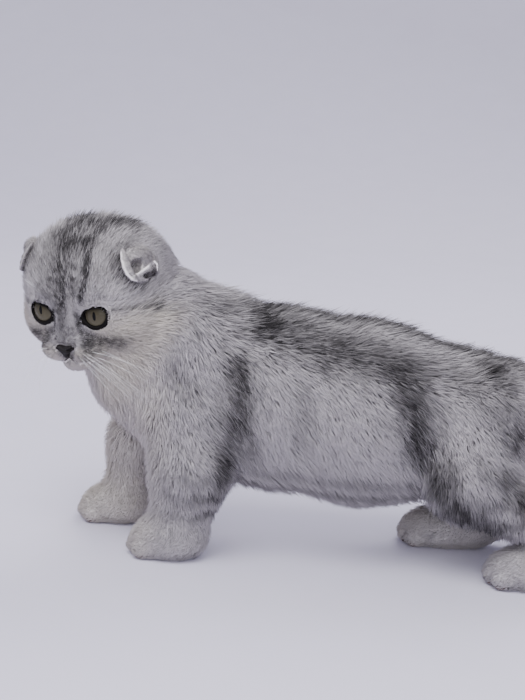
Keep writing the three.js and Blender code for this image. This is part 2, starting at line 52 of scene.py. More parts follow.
# Forms of the solids, out to the tips of the coat. A station of a chain is its middle, its radius sideways
# and its radius up and along; a ball is its middle and its three radii.
TRUNK = [
    ((-29, 0, 79.5), 32, 42.5), ((8, 0, 74.5), 34, 43.5), ((50, 0, 70.5), 37, 44), ((96, 0, 68.5), 32, 38),
]
NECK = [((-30, 0, 94), 29, 33), ((-64, -4, 112), 29, 30)]
BREAST = ((-60, -4, 86), (23, 23, 27))
LEGS = {
    "foreleg_left": {
        "joints": [((-32, -21, 66), 17, 24), ((-29, -24, 44), 16, 19), ((-33, -24.5, 16), 13.5, 15)],
        "muscle": ((-28, -31, 62), (26, 19, 28)),
        "paw": ((-38, -24.5, 8), (18, 14.5, 10.5)),
    },
    "foreleg_right": {
        "joints": [((-45, 20, 66), 16, 22), ((-59, 21, 44), 14, 15), ((-63, 21, 16), 12.5, 13)],
        "muscle": ((-49, 29, 60), (28, 20, 28)),
        "paw": ((-69, 21, 8), (18, 14, 10.5)),
    },
    "hindleg_left": {
        "joints": [
            ((108, -19, 76), 16, 27), ((101, -27, 50), 14, 22), ((126, -27, 38), 11.5, 15),
            ((152, -27, 31), 9.5, 11), ((146, -27, 18), 9.5, 10), ((134, -27, 9), 11, 9.5),
        ],
        "muscle": ((101, -34, 62), (34, 23, 38)),
        "paw": ((130, -27, 8), (18, 14, 10)),
    },
    "hindleg_right": {
        "joints": [
            ((104, 19, 74), 16, 26), ((88, 26, 46), 14, 22), ((106, 25, 31), 12, 14),
            ((124, 24, 18), 10, 11), ((110, 24, 10), 10.5, 9.5), ((96, 24, 9), 11, 9.5),
        ],
        "muscle": ((94, 33, 58), (34, 23, 38)),
        "paw": ((92, 24, 8), (18, 14, 10)),
    },
}
TAIL = [
    ((118, 0, 88), 13.5, 13.5), ((134, 1, 76), 12, 12), ((150, 3, 58), 10.5, 10.5), ((168, 6, 42), 10, 10),
    ((192, 9, 33), 9, 9), ((216, 11, 35), 6.5, 6.5), ((227, 12, 39), 4, 4),
]
TRUNK_BLEND, LEG_BLEND, TAIL_BLEND, HEAD_BLEND, DISH_BLEND = 10, 9, 5, 5, 4
TOE_SPREAD = (-9.2, -3.3, 3.3, 9.2)
TOE_REACH = (9.5, 12.5, 12.5, 9.5)
TOE_RADII = (6.5, 3.9, 5)
TOE_HEIGHT, TOE_BLEND = 5, 2.5
SOLE_HEIGHT = 0.25  # the skin's lowest point, over the floor
TRUNK_COAT, TOE_COAT = 5.8, 1.3  # depth of the coat there
HEAD_AT = np.array((-79.0, -8.0, 119.5))
HEAD_TURN, HEAD_TIP, HEAD_TILT = (math.radians(a) for a in (65, 11, 4))  # to the left, nose down, to one side
HEAD_CUT = (np.array((-54.0, -3.0, 106.0)), np.array((0.85, 0.15, -0.5)))  # a point and the way to the body
FACE_MIDDLE = (29, 0, -11)
SKULL = ((-4, 0, 4), (32, 36.5, 32.4))
SKULL_POWER = 2.3  # boxier than an ellipsoid, which has 2
CHEEK = ((4, 16.5, -9.5), (19, 19.5, 16.5))
WHISKER_PAD = ((22.8, 8.2, -18.4), (8.4, 8.4, 6.8))
CHIN = ((20, 0, -25), (8.5, 7.5, 5.5))
BRIDGE = [((19, 0, 4), 8, 8), ((26.3, 0, -13), 5.2, 4.2)]
SOCKET_DISH = ((31.5, 15.7, -2.8), (8.5, 10.5, 8))
EYE_AT = np.array((17.1, 14.2, -2.4))
EYE_RADIUS = 8.4
EYE_TURN, LID_SLANT = math.radians(9), math.radians(12)  # eyes turned outwards, outer corners raised
NOSE_AT = np.array((30.1, 0, -17.2))
MOUTH = [(0, -21.8), (2.8, -23.8), (6.6, -25), (10.6, -24.6)]  # left and up, out to the corner
SIDES = {"left": 1, "right": -1}
EARS = {  # place, how far sunk, flatness, painted highlight on the bare margins, darkness of the ground
    "left": ((8.0, 29.0, 17.0), 0.0, 1.0, 0.6, 0.26),
    # The far ear's darker ground is painted shade.
    "right": ((9.5, 28.0, 18.5), 1.6, 0.85, 0.1, 0.6),
}


# Distance fields: negative inside, positive outside

def ellipsoid(at, radii, power=2.0):
    at, radii = np.array(at, float), np.array(radii, float)

    def field(p):
        q = np.abs(p - at) / radii
        reach = np.sqrt((q * q).sum(-1)) if power == 2.0 else (q ** power).sum(-1) ** (1 / power)
        slope = np.sqrt(((q / radii) ** 2).sum(-1))
        return reach * (reach - 1) / np.maximum(slope, 1e-6)

    return field


def from_segment(p, start, end):
    """The nearest spot on a segment as a share of its way, and the offset from there."""
    way = np.subtract(end, start)
    share = np.clip(((p - start) @ way) / (way @ way), 0, 1)
    return share, p - start - share[:, None] * way


def bar(start, end):
    def field(p):
        t, r = from_segment(p, start[0], end[0])
        side = start[1] + (end[1] - start[1]) * t
        up = start[2] + (end[2] - start[2]) * t
        reach = np.sqrt((r[:, 1] / side) ** 2 + (r[:, 0] ** 2 + r[:, 2] ** 2) / up ** 2)
        return (reach - 1) * np.minimum(side, up)

    return field


def smooth_min(a, b, blend):
    mix = np.maximum(blend - np.abs(a - b), 0) / blend
    return np.minimum(a, b) - mix * mix * blend / 4


def smooth_max(a, b, blend):
    return -smooth_min(-a, -b, blend)


def union(fields, blend):
    def field(p):
        nearest = fields[0](p)
        for other in fields[1:]:
            nearest = smooth_min(nearest, other(p), blend)
        return nearest

    return field


def chain(stations, blend):
    return union([bar(a, b) for a, b in zip(stations, stations[1:])], blend)


def mirrored(form, side):
    at, radii = form
    return (at[0], at[1] * side, at[2]), radii


def step(low, high, value):
    t = np.clip((value - low) / (high - low), 0, 1)
    return t * t * (3 - 2 * t)


def unit(v):
    return v / np.maximum(np.linalg.norm(v, axis=-1, keepdims=True), 1e-9)


def head_frame():
    forward = np.array((
        -math.cos(HEAD_TURN) * math.cos(HEAD_TIP),
        -math.sin(HEAD_TURN) * math.cos(HEAD_TIP),
        -math.sin(HEAD_TIP),
    ))
    level = Vector((math.sin(HEAD_TURN), -math.cos(HEAD_TURN), 0))
    left = np.array(Matrix.Rotation(HEAD_TILT, 3, Vector(forward)) @ level)
    return np.column_stack((forward, left, np.cross(forward, left)))


HEAD = head_frame()


def to_head(p):
    return (p - HEAD_AT) @ HEAD


def from_head(q):
    return np.asarray(q, float) @ HEAD.T + HEAD_AT


def eye_frame(side):
    turn = np.array(Matrix.Rotation(EYE_TURN * side, 3, "Z") @ Matrix.Rotation(LID_SLANT * side, 3, "X"))
    return EYE_AT * (1, side, 1), turn


def to_eye(q, side):
    at, turn = eye_frame(side)
    return (q - at) @ turn


# The drawing frame's place in the model's frame, from the eyeballs that both hold

def middle_of(name):
    mesh = frame["nodes"][name].data
    points = np.empty(len(mesh.vertices) * 3)
    mesh.vertices.foreach_get("co", points)
    return np.unique(np.round(points.reshape(-1, 3), 6), axis=0).mean(0) / MM


SHIFT = np.mean([
    middle_of("eye_" + name) - from_head(eye_frame(side)[0]) for name, side in SIDES.items()
], axis=0)
SHIFT[2] = 0


def world(p):
    return (np.asarray(p, float) + SHIFT) * MM


def face_forms():
    forms = [ellipsoid(*SKULL, power=SKULL_POWER), bar(*BRIDGE), ellipsoid(*CHIN)]
    for side in SIDES.values():
        forms += [ellipsoid(*mirrored(CHEEK, side)), ellipsoid(*mirrored(WHISKER_PAD, side))]
    whole = union(forms, HEAD_BLEND)
    dishes = [ellipsoid(*mirrored(SOCKET_DISH, side)) for side in SIDES.values()]

    def field(q):
        face = whole(q)
        for dish in dishes:
            face = smooth_max(face, -dish(q), DISH_BLEND)
        return face

    return field


face_field = face_forms()
trunk_field = union([chain(TRUNK, TRUNK_BLEND), chain(NECK, TRUNK_BLEND), ellipsoid(*BREAST)], TRUNK_BLEND)
leg_fields = [
    union([chain(leg["joints"], LEG_BLEND), ellipsoid(*leg["paw"])], LEG_BLEND) for leg in LEGS.values()
]
tail_field = chain(TAIL, TAIL_BLEND)
body_field = union([trunk_field, *leg_fields, tail_field], LEG_BLEND)


def head_weight(p):
    """1 on the head, 0 on the body, with a soft step across the cut between them."""
    return step(-10, 4, -((p - HEAD_CUT[0]) @ HEAD_CUT[1]))


def from_face(q):
    return np.linalg.norm(q - FACE_MIDDLE, axis=-1)


def coat_height(p):
    """Height of the coat over the skin: short on the face, paws and tail's tip, deep on the trunk."""
    head = 0.9 + 3.3 * step(10, 50, from_face(to_head(p)))
    limb = step(-8, 6, trunk_field(p))
    leg = 2.0 + 2.8 * step(8, 48, p[:, 2])
    tail_part = step(112, 128, p[:, 0])
    tail = 4.8 - 2.8 * step(150, 226, p[:, 0])
    outer = leg + (tail - leg) * tail_part * step(-6, 4, -tail_field(p) + 2)
    body = TRUNK_COAT + (outer - TRUNK_COAT) * limb
    return body + (head - body) * head_weight(p)


# Outline of an eye's dark rim, in the eye's frame: inner edge on the eyeball, outer edge on the lids
LID_CENTRE = np.array((-0.3, 1.1))
LID_HALF, LID_UPPER, LID_LOWER = 5.6, 3.0, 4.85
LID_POWER = 2.7  # boxier than an ellipse above, with corners that stand out
LID_COVER, LID_BLEND = 0.9, 3.0  # how far the lids stand out over the eyeball, and how softly
LID_TUCK = 0.7  # where the skin's opening lies, as a share of the rim's width from its inner edge
INNER_CORNER = math.pi * 1.07
CORNER_WIDTH = {1: 1.9, -1: 1.1}  # how much wider each rim is at the inner corner, as dark lid skin with painted shade
LID_COUNT, LID_ROWS, LID_DEPTH = 96, 12, 1.2  # points round a rim, rows across it, thickness


def lid_half(up):
    return np.column_stack((np.full(len(up), LID_HALF), np.where(up > 0, LID_UPPER, LID_LOWER)))


def lid_bulge(spin):
    """How far the flat upper lid's corners stand out past an ellipse."""
    power = np.where(np.sin(spin) > 0, LID_POWER, 2.0)
    return (np.abs(np.cos(spin)) ** power + np.abs(np.sin(spin)) ** power) ** (-1 / power)


def lid_width(spin, side):
    # The rim widens below and at the inner corner: partly real dark lid skin, partly painted shade under the
    # eye and in its corner.
    corner = np.exp(-((np.mod(spin, 2 * math.pi) - INNER_CORNER) / 0.40) ** 2)
    below, above = np.clip(-np.sin(spin), 0, 1), np.clip(np.sin(spin), 0, 1)
    return 0.8 + 0.95 * below + CORNER_WIDTH[side] * corner - 0.3 * above


def lid_ring(e, side, share=1.0):
    """1 on the outer edge of the rim, less inside it."""
    left, up = e[:, 1] * side - LID_CENTRE[0], e[:, 2] - LID_CENTRE[1]
    half = lid_half(up)
    spin = np.arctan2(up / half[:, 1], left / half[:, 0])
    half = half + share * lid_width(spin, side)[:, None]
    return np.sqrt((left / half[:, 0]) ** 2 + (up / half[:, 1]) ** 2) / lid_bulge(spin)


def lid_skin(q, whole):
    """The face's skin with the lids' swell over both eyeballs."""
    for side in SIDES.values():
        swell = np.linalg.norm(to_eye(q, side), axis=-1) - EYE_RADIUS - LID_COVER
        whole = smooth_min(whole, swell, LID_BLEND)
    return whole


def skin_field(p):
    q = to_head(p)
    whole = smooth_min(body_field(p), face_field(q), 0.4 * HEAD_BLEND)
    whole = lid_skin(q, smooth_min(whole + coat_height(p), toe_field(p) + TOE_COAT, TOE_BLEND))
    for side in SIDES.values():
        e = to_eye(q, side)
        ball = np.linalg.norm(e, axis=-1) - EYE_RADIUS - 0.1
        opening = (lid_ring(e, side, LID_TUCK) - 1) * 5
        whole = np.maximum(whole, -np.minimum(ball, np.maximum(opening, 2 - e[:, 0])))
    return np.maximum(whole, SOLE_HEIGHT - p[:, 2])


def outer_field(p):
    """The solids' own surface."""
    return np.minimum(smooth_min(body_field(p), face_field(to_head(p)), HEAD_BLEND), toe_field(p))


toe_forms = [
    ellipsoid((leg["paw"][0][0] - TOE_REACH[i], leg["paw"][0][1] + TOE_SPREAD[i], TOE_HEIGHT), TOE_RADII)
    for leg in LEGS.values() for i in range(4)
]


def toe_field(p):
    near = np.full(len(p), 30.0)
    low = p[:, 2] < 22
    if low.any():
        near[low] = np.min([toe(p[low]) for toe in toe_forms], axis=0)
    return near


# Surface of a field

def wrap(field, low, high, cell, coarse=4, band=2.6):
    """Quads with one corner in each crossed cell of a lattice, which is filled in only near the surface."""
    low, high = np.array(low, float), np.array(high, float)
    blocks = np.ceil((high - low) / (cell * coarse)).astype(int)
    steps = [(np.arange(n) + 0.5) * cell * coarse for n in blocks]
    centres = np.stack(np.meshgrid(*steps, indexing="ij"), -1)
    rough = field((centres + low).reshape(-1, 3)).reshape(blocks)
    values = rough.repeat(coarse, 0).repeat(coarse, 1).repeat(coarse, 2).astype(np.float32)
    near = np.argwhere(np.abs(values) < band * cell * coarse)
    for part in np.array_split(near, max(1, len(near) // 400000)):
        values[tuple(part.T)] = field(low + (part + 0.5) * cell)
    for axis in range(3):
        for end in (0, -1):
            values[tuple(end if a == axis else slice(None) for a in range(3))] = cell
    inside = values < 0
    size = np.array(values.shape)
    corner = [np.array(c) for c in np.ndindex(2, 2, 2)]
    cut = [tuple(slice(c[a], size[a] - 1 + c[a]) for a in range(3)) for c in corner]
    total = sum(inside[c].astype(np.int8) for c in cut)
    cells = np.argwhere((total > 0) & (total < 8))
    number = np.full(size - 1, -1, np.int64)
    number[tuple(cells.T)] = np.arange(len(cells))
    at = np.stack([values[tuple((cells + c).T)] for c in corner], 1).astype(float)
    sums, hits = np.zeros((len(cells), 3)), np.zeros(len(cells))
    for a in range(8):
        for b in range(a + 1, 8):
            if np.abs(corner[a] - corner[b]).sum() != 1:
                continue
            crossed = (at[:, a] < 0) != (at[:, b] < 0)
            share = at[crossed, a] / (at[crossed, a] - at[crossed, b])
            sums[crossed] += corner[a] + share[:, None] * (corner[b] - corner[a])
            hits[crossed] += 1
    points = low + (cells + sums / hits[:, None] + 0.5) * cell
    quads = []
    for axis in range(3):
        b, c = (axis + 1) % 3, (axis + 2) % 3
        here = [slice(1, -1)] * 3
        there = list(here)
        here[axis], there[axis] = slice(0, -1), slice(1, None)
        change = inside[tuple(here)] != inside[tuple(there)]
        edge = np.argwhere(change) + np.array([0 if a == axis else 1 for a in range(3)])
        ring = []
        for s, t in ((0, 0), (1, 0), (1, 1), (0, 1)):
            spot = edge.copy()
            spot[:, b] -= s
            spot[:, c] -= t
            ring.append(number[tuple(spot.T)])
        quad = np.stack(ring, 1)
        flip = ~inside[tuple(edge.T)]
        quad[flip] = quad[flip][:, ::-1]
        quads.append(quad)
    return points, np.concatenate(quads)


def slope_of(field, p, h=0.15):
    return np.stack([field(p + h * e) - field(p - h * e) for e in np.eye(3)], 1) / (2 * h)


def settle(field, p, cell, rounds=2):
    """Moves points near a surface onto it."""
    for _ in range(rounds):
        slope = slope_of(field, p)
        steep = np.maximum((slope ** 2).sum(1), 0.3)
        p = p - slope * np.clip(field(p) / steep, -cell / 2, cell / 2)[:, None]
    return p


# Blender helpers

def place_object(name, data):
    piece = bpy.data.objects.new(name, data)
    bpy.context.scene.collection.objects.link(piece)
    return piece


def make_mesh(name, points, faces):
    """A mesh object from points in millimetres of the drawing frame and faces of one size."""
    mesh = bpy.data.meshes.new(name)
    sides = faces.shape[1]
    mesh.vertices.add(len(points))
    mesh.vertices.foreach_set("co", world(points).astype(np.float32).ravel())
    mesh.loops.add(faces.size)
    mesh.loops.foreach_set("vertex_index", faces.astype(np.int32).ravel())
    mesh.polygons.add(len(faces))
    mesh.polygons.foreach_set("loop_start", np.arange(0, faces.size, sides, dtype=np.int32))
    mesh.polygons.foreach_set("use_smooth", np.full(len(faces), True))
    mesh.update(calc_edges=True)
    return place_object(name, mesh)


def set_value(piece, name, values):
    kind, key = ("FLOAT_VECTOR", "vector") if values.ndim == 2 else ("FLOAT", "value")
    layer = piece.data.attributes.new(name, kind, "POINT")
    layer.data.foreach_set(key, values.astype(np.float32).ravel())


def finish_piece(piece, material, slot, *nodes):
    piece.data.materials.append(material)
    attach(piece, "root")
    if nodes:
        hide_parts(*nodes)


# Smooth noise in space, from a few waves

WAVES = unit(rng.normal(size=(14, 3)))
PHASES = rng.uniform(0, 2 * math.pi, 14)


def waves(p, size, first=0, count=7):
    total = np.zeros(len(p))
    for i in range(first, first + count):
        total += np.sin(p @ WAVES[i] * (2 * math.pi / (size * (0.7 + 0.1 * (i - first)))) + PHASES[i])
    return total / count


# Nose, in its own frame

NOSE_CELL = 0.3
NOSE_SINK = (0.5, 0, 0)
nose_parts = [ellipsoid((0, 3.0 * side, 0.8), (2.2, 2.1, 1.15)) for side in SIDES.values()]
nose_parts += [ellipsoid((0.3, 0, -0.2), (2.4, 3.1, 1.6)), ellipsoid((-0.3, 0, -1.9), (2.0, 1.5, 2.4))]
nose_whole = union(nose_parts, 1.4)
nostril_parts = [ellipsoid((2.0, 3.1 * side, 0.3), (1.7, 1.1, 0.65)) for side in SIDES.values()]
nostril_parts += [ellipsoid((1.4, 4.5 * side, 1.1), (1.6, 1.3, 0.4)) for side in SIDES.values()]
nostrils = union(nostril_parts, 0.4)
groove = bar(((2.9, 0, 1.6), 0.22, 0.22), ((1.8, 0, -4.6), 0.32, 0.32))


def nose_form(p):
    return smooth_max(smooth_max(nose_whole(p), -nostrils(p), 0.4), -groove(p), 0.4)


# Markings: strokes through points in the drawing frame or the head's frame, the same on both sides

def stroke_distance(p, points):
    near = np.full(len(p), 1e3)
    for a, b in zip(points, points[1:]):
        near = np.minimum(near, np.linalg.norm(from_segment(p, a, b)[1], axis=1))
    return near


BODY_STROKES = [  # points, width, darkness
    ([(-12, 33, 99), (-11, 37, 80), (-10, 38, 62), (-12, 36, 46)], 6.5, 0.88),
    ([(-6, 4, 116), (-2, 17, 111)], 8.0, 1.0),
    ([(2, 16, 111), (34, 22, 105), (66, 26, 97)], 9.5, 0.72),
    ([(60, 28, 100), (70, 36, 88)], 10.0, 0.85),
    ([(70, 36, 90), (76, 38, 62), (92, 38, 42), (112, 36, 30)], 7.0, 0.95),
    ([(0, 0, 118), (50, 0, 115), (96, 0, 106), (122, 0, 98)], 8.0, 0.8),
    # Down the rump beside the tail's root: partly a tabby stripe, partly painted shadow under the tail.
    ([(102, 16, 102), (110, 26, 84), (116, 30, 74)], 7.0, 0.95),
    ([(84, 24, 100), (100, 26, 92)], 8.0, 0.4),
    ([(17, 38, 92), (20, 40, 62)], 5.0, 0.28),
    ([(-44, 12, 118), (-26, 14, 120), (-8, 10, 117)], 6.0, 0.4),
    ([(-46, 26, 104), (-34, 31, 84)], 5.0, 0.35),
    ([(96, 42, 70), (108, 42, 56)], 3.0, 0.35),
    ([(116, 40, 56), (132, 38, 36)], 6.5, 0.7),
]
LEG_RINGS = [(35, 3.0, 0.85), (26, 2.8, 0.75), (45, 3.4, 0.6)]  # height, width, darkness
TAIL_RING_SPACING = 21
TAIL_END_WAY = np.array((11.0, 1.0, 4.0))
HEAD_STROKES = [  # laid over a ball round the middle of the head
    ([(19, -3.5, 28.7), (24.7, 0.1, 21), (26.8, 0.3, 14), (28.5, -0.5, 2)], 4.4, 1.0),
    ([(19, 8, 28), (23.1, 11.6, 21.5), (26.3, 10.9, 13), (26.9, 9.2, 5)], 2.6, 1.0),
    ([(25.4, 5.2, 19), (26.8, 5.8, 13.7), (27.9, 6.1, 6)], 1.3, 0.8),
    ([(21, 3, 27), (24, 3, 22), (27, 2, 12)], 11.0, 0.62),
    ([(20, 1.5, 29), (12, 3, 34), (3, 4, 37)], 12.0, 0.8),
    ([(6, 0, 37), (-1, 6, 37), (-8, 14, 35)], 8.5, 0.95),
    ([(19, 10.8, 28), (13, 10, 32.4), (2, 9, 36)], 3.0, 0.75),
    ([(22, 18, 14), (14, 22, 24), (3, 24, 30)], 3.0, 0.3),
    ([(14.5, 22.7, 25.6), (14.6, 23.5, 24.2)], 1.6, 0.95),
    ([(19, 25, 20), (17.5, 26, 13), (13, 29, 9)], 4.6, 0.75),
    ([(22.6, 22.6, 1), (15.2, 32.4, -1.3), (7.9, 37.2, -3.3)], 1.0, 0.65),
    ([(10, 36, -2), (4, 38, -3)], 2.6, 0.3),
    ([(27.2, 10.5, -12.5), (25.9, 17, -14.3), (23.7, 22.9, -16.5)], 4.2, 1.0),
    ([(25.6, 6.6, -1.5), (26.6, 7.2, -5), (27.2, 7.3, -10)], 2.1, 1.0),
    ([(29, 3.6, -8), (29.5, 4, -13)], 1.6, 0.7),
    ([(29.5, 0, -5), (30.6, 0, -13)], 4.4, 0.6),
    ([(-16, 0, 34), (-30, 0, 18)], 3.0, 0.85),
    ([(-10, 13, 34), (-24, 12, 24), (-32, 10, 10)], 3.2, 0.8),
    ([(-6, 24, 26), (-18, 26, 16), (-24, 26, 2)], 3.0, 0.2),
    ([(2, 36, -8), (-12, 33, -10)], 3.0, 0.4),
]
WHISKER_ROWS = [(-17.2, 8.0, 4), (-19.6, 6.4, 4), (-21.8, 7.2, 3)]  # up, first left, how many
LONE_STROKE, FADED_STROKE = 0, 1  # the one that isn't mirrored, and the one that is fainter on the far side
HEAD_MIDDLE = np.array((-2.0, 0.0, 0.0))
HEAD_BALL = 36


def on_ball(q):
    return unit(np.asarray(q, float) - HEAD_MIDDLE) * HEAD_BALL


def mouth_gap(q):
    """Distance from the line of the mouth, seen from the front."""
    even = np.stack([0 * q[:, 0] + 500 * (q[:, 0] < 12), np.abs(q[:, 1]), q[:, 2]], 1)
    return stroke_distance(even, [(0, 0, -19)] + [(0, left, up) for left, up in MOUTH])


def dots_over_lip(q):
    """The small dark roots of the whiskers."""
    dots = np.zeros(len(q))
    for up, first, count in WHISKER_ROWS:
        for i in range(count):
            off = (np.abs(q[:, 1]) - first - 2.0 * i, q[:, 2] - up + 0.1 * i)
            dots = np.maximum(dots, np.exp(-off[0] ** 2 - (off[1] / 0.6) ** 2))
    return dots * step(10, 20, q[:, 0])


def folded(p):
    """Both sides laid over each other."""
    return p * (1, 0, 1) + np.abs(p[:, 1:2]) * (0, 1, 0)


def body_pattern(p, wobble, limb):
    drift = (3.0 * waves(p, 24, 5) + 1.6 * waves(p, 7, 2))[:, None] * (1, 0, 0)
    dark = np.zeros(len(p))
    for points, width, strength in BODY_STROKES:
        d = stroke_distance(folded(p) + drift, points)
        dark = np.maximum(dark, strength * np.exp(-(d / (width * wobble * 1.25)) ** 2.6))
    for height, width, strength in LEG_RINGS:
        ring = np.exp(-((p[:, 2] - height + 2 * waves(p, 15, 3)) / width) ** 2)
        dark = np.maximum(dark, strength * ring * limb * step(100, 60, np.abs(p[:, 0] - 50)))
    tail = step(128, 140, p[:, 0]) * step(4, -4, tail_field(p) - 2)
    rings = 0.5 + 0.5 * np.sin((p[:, 0] - 0.6 * p[:, 2]) * 2 * math.pi / TAIL_RING_SPACING)
    return np.maximum(dark, tail * (0.35 + 0.55 * step(0.45, 0.8, rings)))


def head_pattern(p, q, wobble):
    ball = on_ball(q)
    drift = 0.45 * waves(p, 7, 4)[:, None] * (0, 1, 0.3)
    dark = dots_over_lip(q)
    for number, (points, width, strength) in enumerate(HEAD_STROKES):
        d = stroke_distance((ball if number == LONE_STROKE else folded(ball)) + drift, on_ball(points))
        fade = 1 - 0.5 * step(3, -5, ball[:, 1]) * (number == FADED_STROKE)
        dark = np.maximum(dark, strength * fade * np.exp(-(d / (width * wobble)) ** 2.4))
    dark = np.maximum(dark, 0.8 * step(1.8, 0.6, nose_whole(q - NOSE_AT + NOSE_SINK)))
    return np.maximum(dark, 0.55 * step(1.0, 0.3, mouth_gap(q)))


def markings(p, normal):
    """Darkness of the pattern and warmth of the ground, each 0 to 1, for places on the skin."""
    p = p + normal * coat_height(p)[:, None]
    q = to_head(p)
    wobble = 1 + 0.3 * waves(p, 17) + 0.25 * waves(p, 6, 7)
    trunk, w = trunk_field(p), head_weight(p)
    limb = step(-8, 4, trunk)
    body = body_pattern(p, wobble, limb)
    dark = body + (head_pattern(p, q, wobble) - body) * w
    belly = step(58, 34, p[:, 2]) * step(2, -8, trunk)
    far = limb * step(5, 25, p[:, 1]) * step(90, 50, p[:, 2])
    aside = np.abs(q[:, 1])
    muzzle = step(-13, -18, q[:, 2]) * (1 - 0.4 * step(8, 3, aside))
    cheek = w * np.maximum(step(8, 17, aside) * step(4, -8, q[:, 2]), muzzle)
    breast = step(-34, -58, p[:, 0]) * step(108, 84, p[:, 2]) * (1 - w)
    warm = np.clip(0.4 * belly + 0.6 * far + cheek + 0.6 * breast, 0, 1)
    return np.clip(dark, 0, 1), warm


# Lie of the coat: which way the hair points, along the skin

NOSE_ROOT = (25, 0, -15)
EYE_CORNERS = (7, 5.8)  # half the width and height of the ring that the hair round an eye follows


def tail_lie(p):
    centres = np.array([s[0] for s in TAIL], float)
    pull = np.exp(-((p[:, None, :] - centres[None]) ** 2).sum(-1) / 200) + 1e-9
    return unit(pull @ unit(np.gradient(centres, axis=0)))


def head_lie(q):
    """Away from the nose, round the eyes and back over the nape."""
    way = unit(q - NOSE_ROOT)
    way[:, 2] += 0.15 * step(0, 20, q[:, 2])
    for side in SIDES.values():
        e, turn = to_eye(q, side), eye_frame(side)[1]
        across, up = e[:, 1] / EYE_CORNERS[0], e[:, 2] / EYE_CORNERS[1]
        ring = np.sqrt(across ** 2 + up ** 2)
        around = unit(np.stack([0 * ring, across, up], 1) @ turn.T)
        near = (step(1.9, 1.1, ring) * (e[:, 0] > 0))[:, None]
        way = way * (1 - near) + around * near
    behind = 0.9 * step(34, 60, np.linalg.norm(q - NOSE_ROOT, axis=1))[:, None]
    return unit(way @ HEAD.T + behind * np.array((0.8, 0.1, -0.45)))


def coat_lie(p, normal):
    x, z = p[:, 0], p[:, 2]
    flank = step(8, 32, np.abs(p[:, 1]))
    limb = step(-4, 8, trunk_field(p)) * step(52, 38, z)
    way = np.stack([1 - 0.35 * flank, 0 * flank, -0.15 - 0.65 * flank], 1)
    for share, towards in (
        (step(-12, -34, x), (0.45, 0, -0.9)),  # the shoulder
        (step(-44, -60, x), (0.1, 0, -1)),  # the breast
        (step(66, 88, x) * step(84, 60, z) * flank, (0.55, 0, -0.85)),  # the thigh
        (limb, (0.15, 0, -1)),
        (limb * step(17, 9, z), (-1, 0, -0.35)),  # the paws
        (step(114, 130, x) * step(10, -2, tail_field(p)), tail_lie(p)),
    ):
        way = way * (1 - share[:, None]) + share[:, None] * np.asarray(towards)
    w = head_weight(p)[:, None]
    way = unit(way) * (1 - w) + w * head_lie(to_head(p))
    way = way + 0.22 * np.stack([waves(p, 26), waves(p, 22, 4), waves(p, 24, 7)], 1)
    return unit(way - (way * normal).sum(1)[:, None] * normal)


# Materials, all procedural

class Paint:
    """A new material and short forms for the nodes that work out its colour and grain."""

    def __init__(self, name, roughness, gloss):
        self.material = bpy.data.materials.new(name)
        self.material.use_nodes = True
        self.nodes, self.links = self.material.node_tree.nodes, self.material.node_tree.links
        self.shader = self.nodes["Principled BSDF"]
        self.feed(self.shader, {"Roughness": roughness, "Specular IOR Level": gloss})

    def feed(self, node, values):
        """Sets sockets to numbers or colours, or links them to other nodes' outputs."""
        for key, value in values.items():
            if isinstance(value, bpy.types.NodeSocket):
                self.links.new(value, node.inputs[key])
            else:
                node.inputs[key].default_value = (*value, 1) if isinstance(value, tuple) else value

    def add(self, kind, values, output=0, **settings):
        """One output of a new node."""
        node = self.nodes.new("ShaderNode" + kind)
        for key, value in settings.items():
            setattr(node, key, value)
        self.feed(node, values)
        return node.outputs[output]

    def attribute(self, name, output="Fac"):
        return self.add("Attribute", {}, output, attribute_name=name)

    def maths(self, operation, a, b=0.0, clamp=False):
        return self.add("Math", {0: a, 1: b}, operation=operation, use_clamp=clamp)

    def times(self, a, b, clamp=False):
        return self.maths("MULTIPLY", a, b, clamp)

    def plus(self, a, b, clamp=False):
        return self.maths("ADD", a, b, clamp)

    def minus(self, a, b, clamp=False):
        return self.maths("SUBTRACT", a, b, clamp)

    def length(self, a, b):
        return self.maths("SQRT", self.plus(self.times(a, a), self.times(b, b)))

    def mix(self, factor, a, b):
        return self.add("Mix", {0: factor, 6: a, 7: b}, 2, data_type="RGBA")

    def soft_step(self, value, low, high):
        values = {"Value": value, "From Min": low, "From Max": high}
        return self.add("MapRange", values, interpolation_type="SMOOTHSTEP")

    def noise(self, scale, detail=3.0, place=None):
        place = self.add("TexCoord", {}, "Object") if place is None else place
        return self.add("TexNoise", {"Vector": place, "Scale": scale, "Detail": detail}, "Fac")

    def bump(self, height, strength, distance):
        values = {"Height": height, "Strength": strength, "Distance": distance}
        self.feed(self.shader, {"Normal": self.add("Bump", values)})

    def fur_colour(self, tip):
        """Pale ground, warmer on the belly, flecked with grey and darkened towards the tip by the pattern."""
        dark, warm, shade = (self.attribute(name) for name in ("dark", "warm", "shade"))
        fleck = self.times(self.minus(shade, 0.42, True), 1.7, True)
        fleck = self.times(self.times(fleck, self.minus(1.0, self.times(warm, 0.6))), tip, True)
        ground = self.mix(fleck, self.mix(warm, PALE, WARM), MIDDLE)
        depth = self.times(self.times(dark, self.plus(0.8, self.times(shade, 0.5))), tip, True)
        return self.mix(depth, ground, DARK)


# Colours of the hair's ground, its flecks and pattern, the painted shade at its roots, and the skin
PALE = (0.79, 0.75, 0.79)
WARM = (0.93, 0.87, 0.82)
MIDDLE = (0.36, 0.34, 0.36)
DARK = (0.052, 0.047, 0.052)
ROOT_SHADE = (0.2, 0.2, 0.205)
SKIN = (0.22, 0.2, 0.2)
COAT_SOFTNESS = 0.82  # how far a tuft is lit by the skin's normal instead of its own
COAT_GLOW = 0.48  # the share of light that passes through a tuft


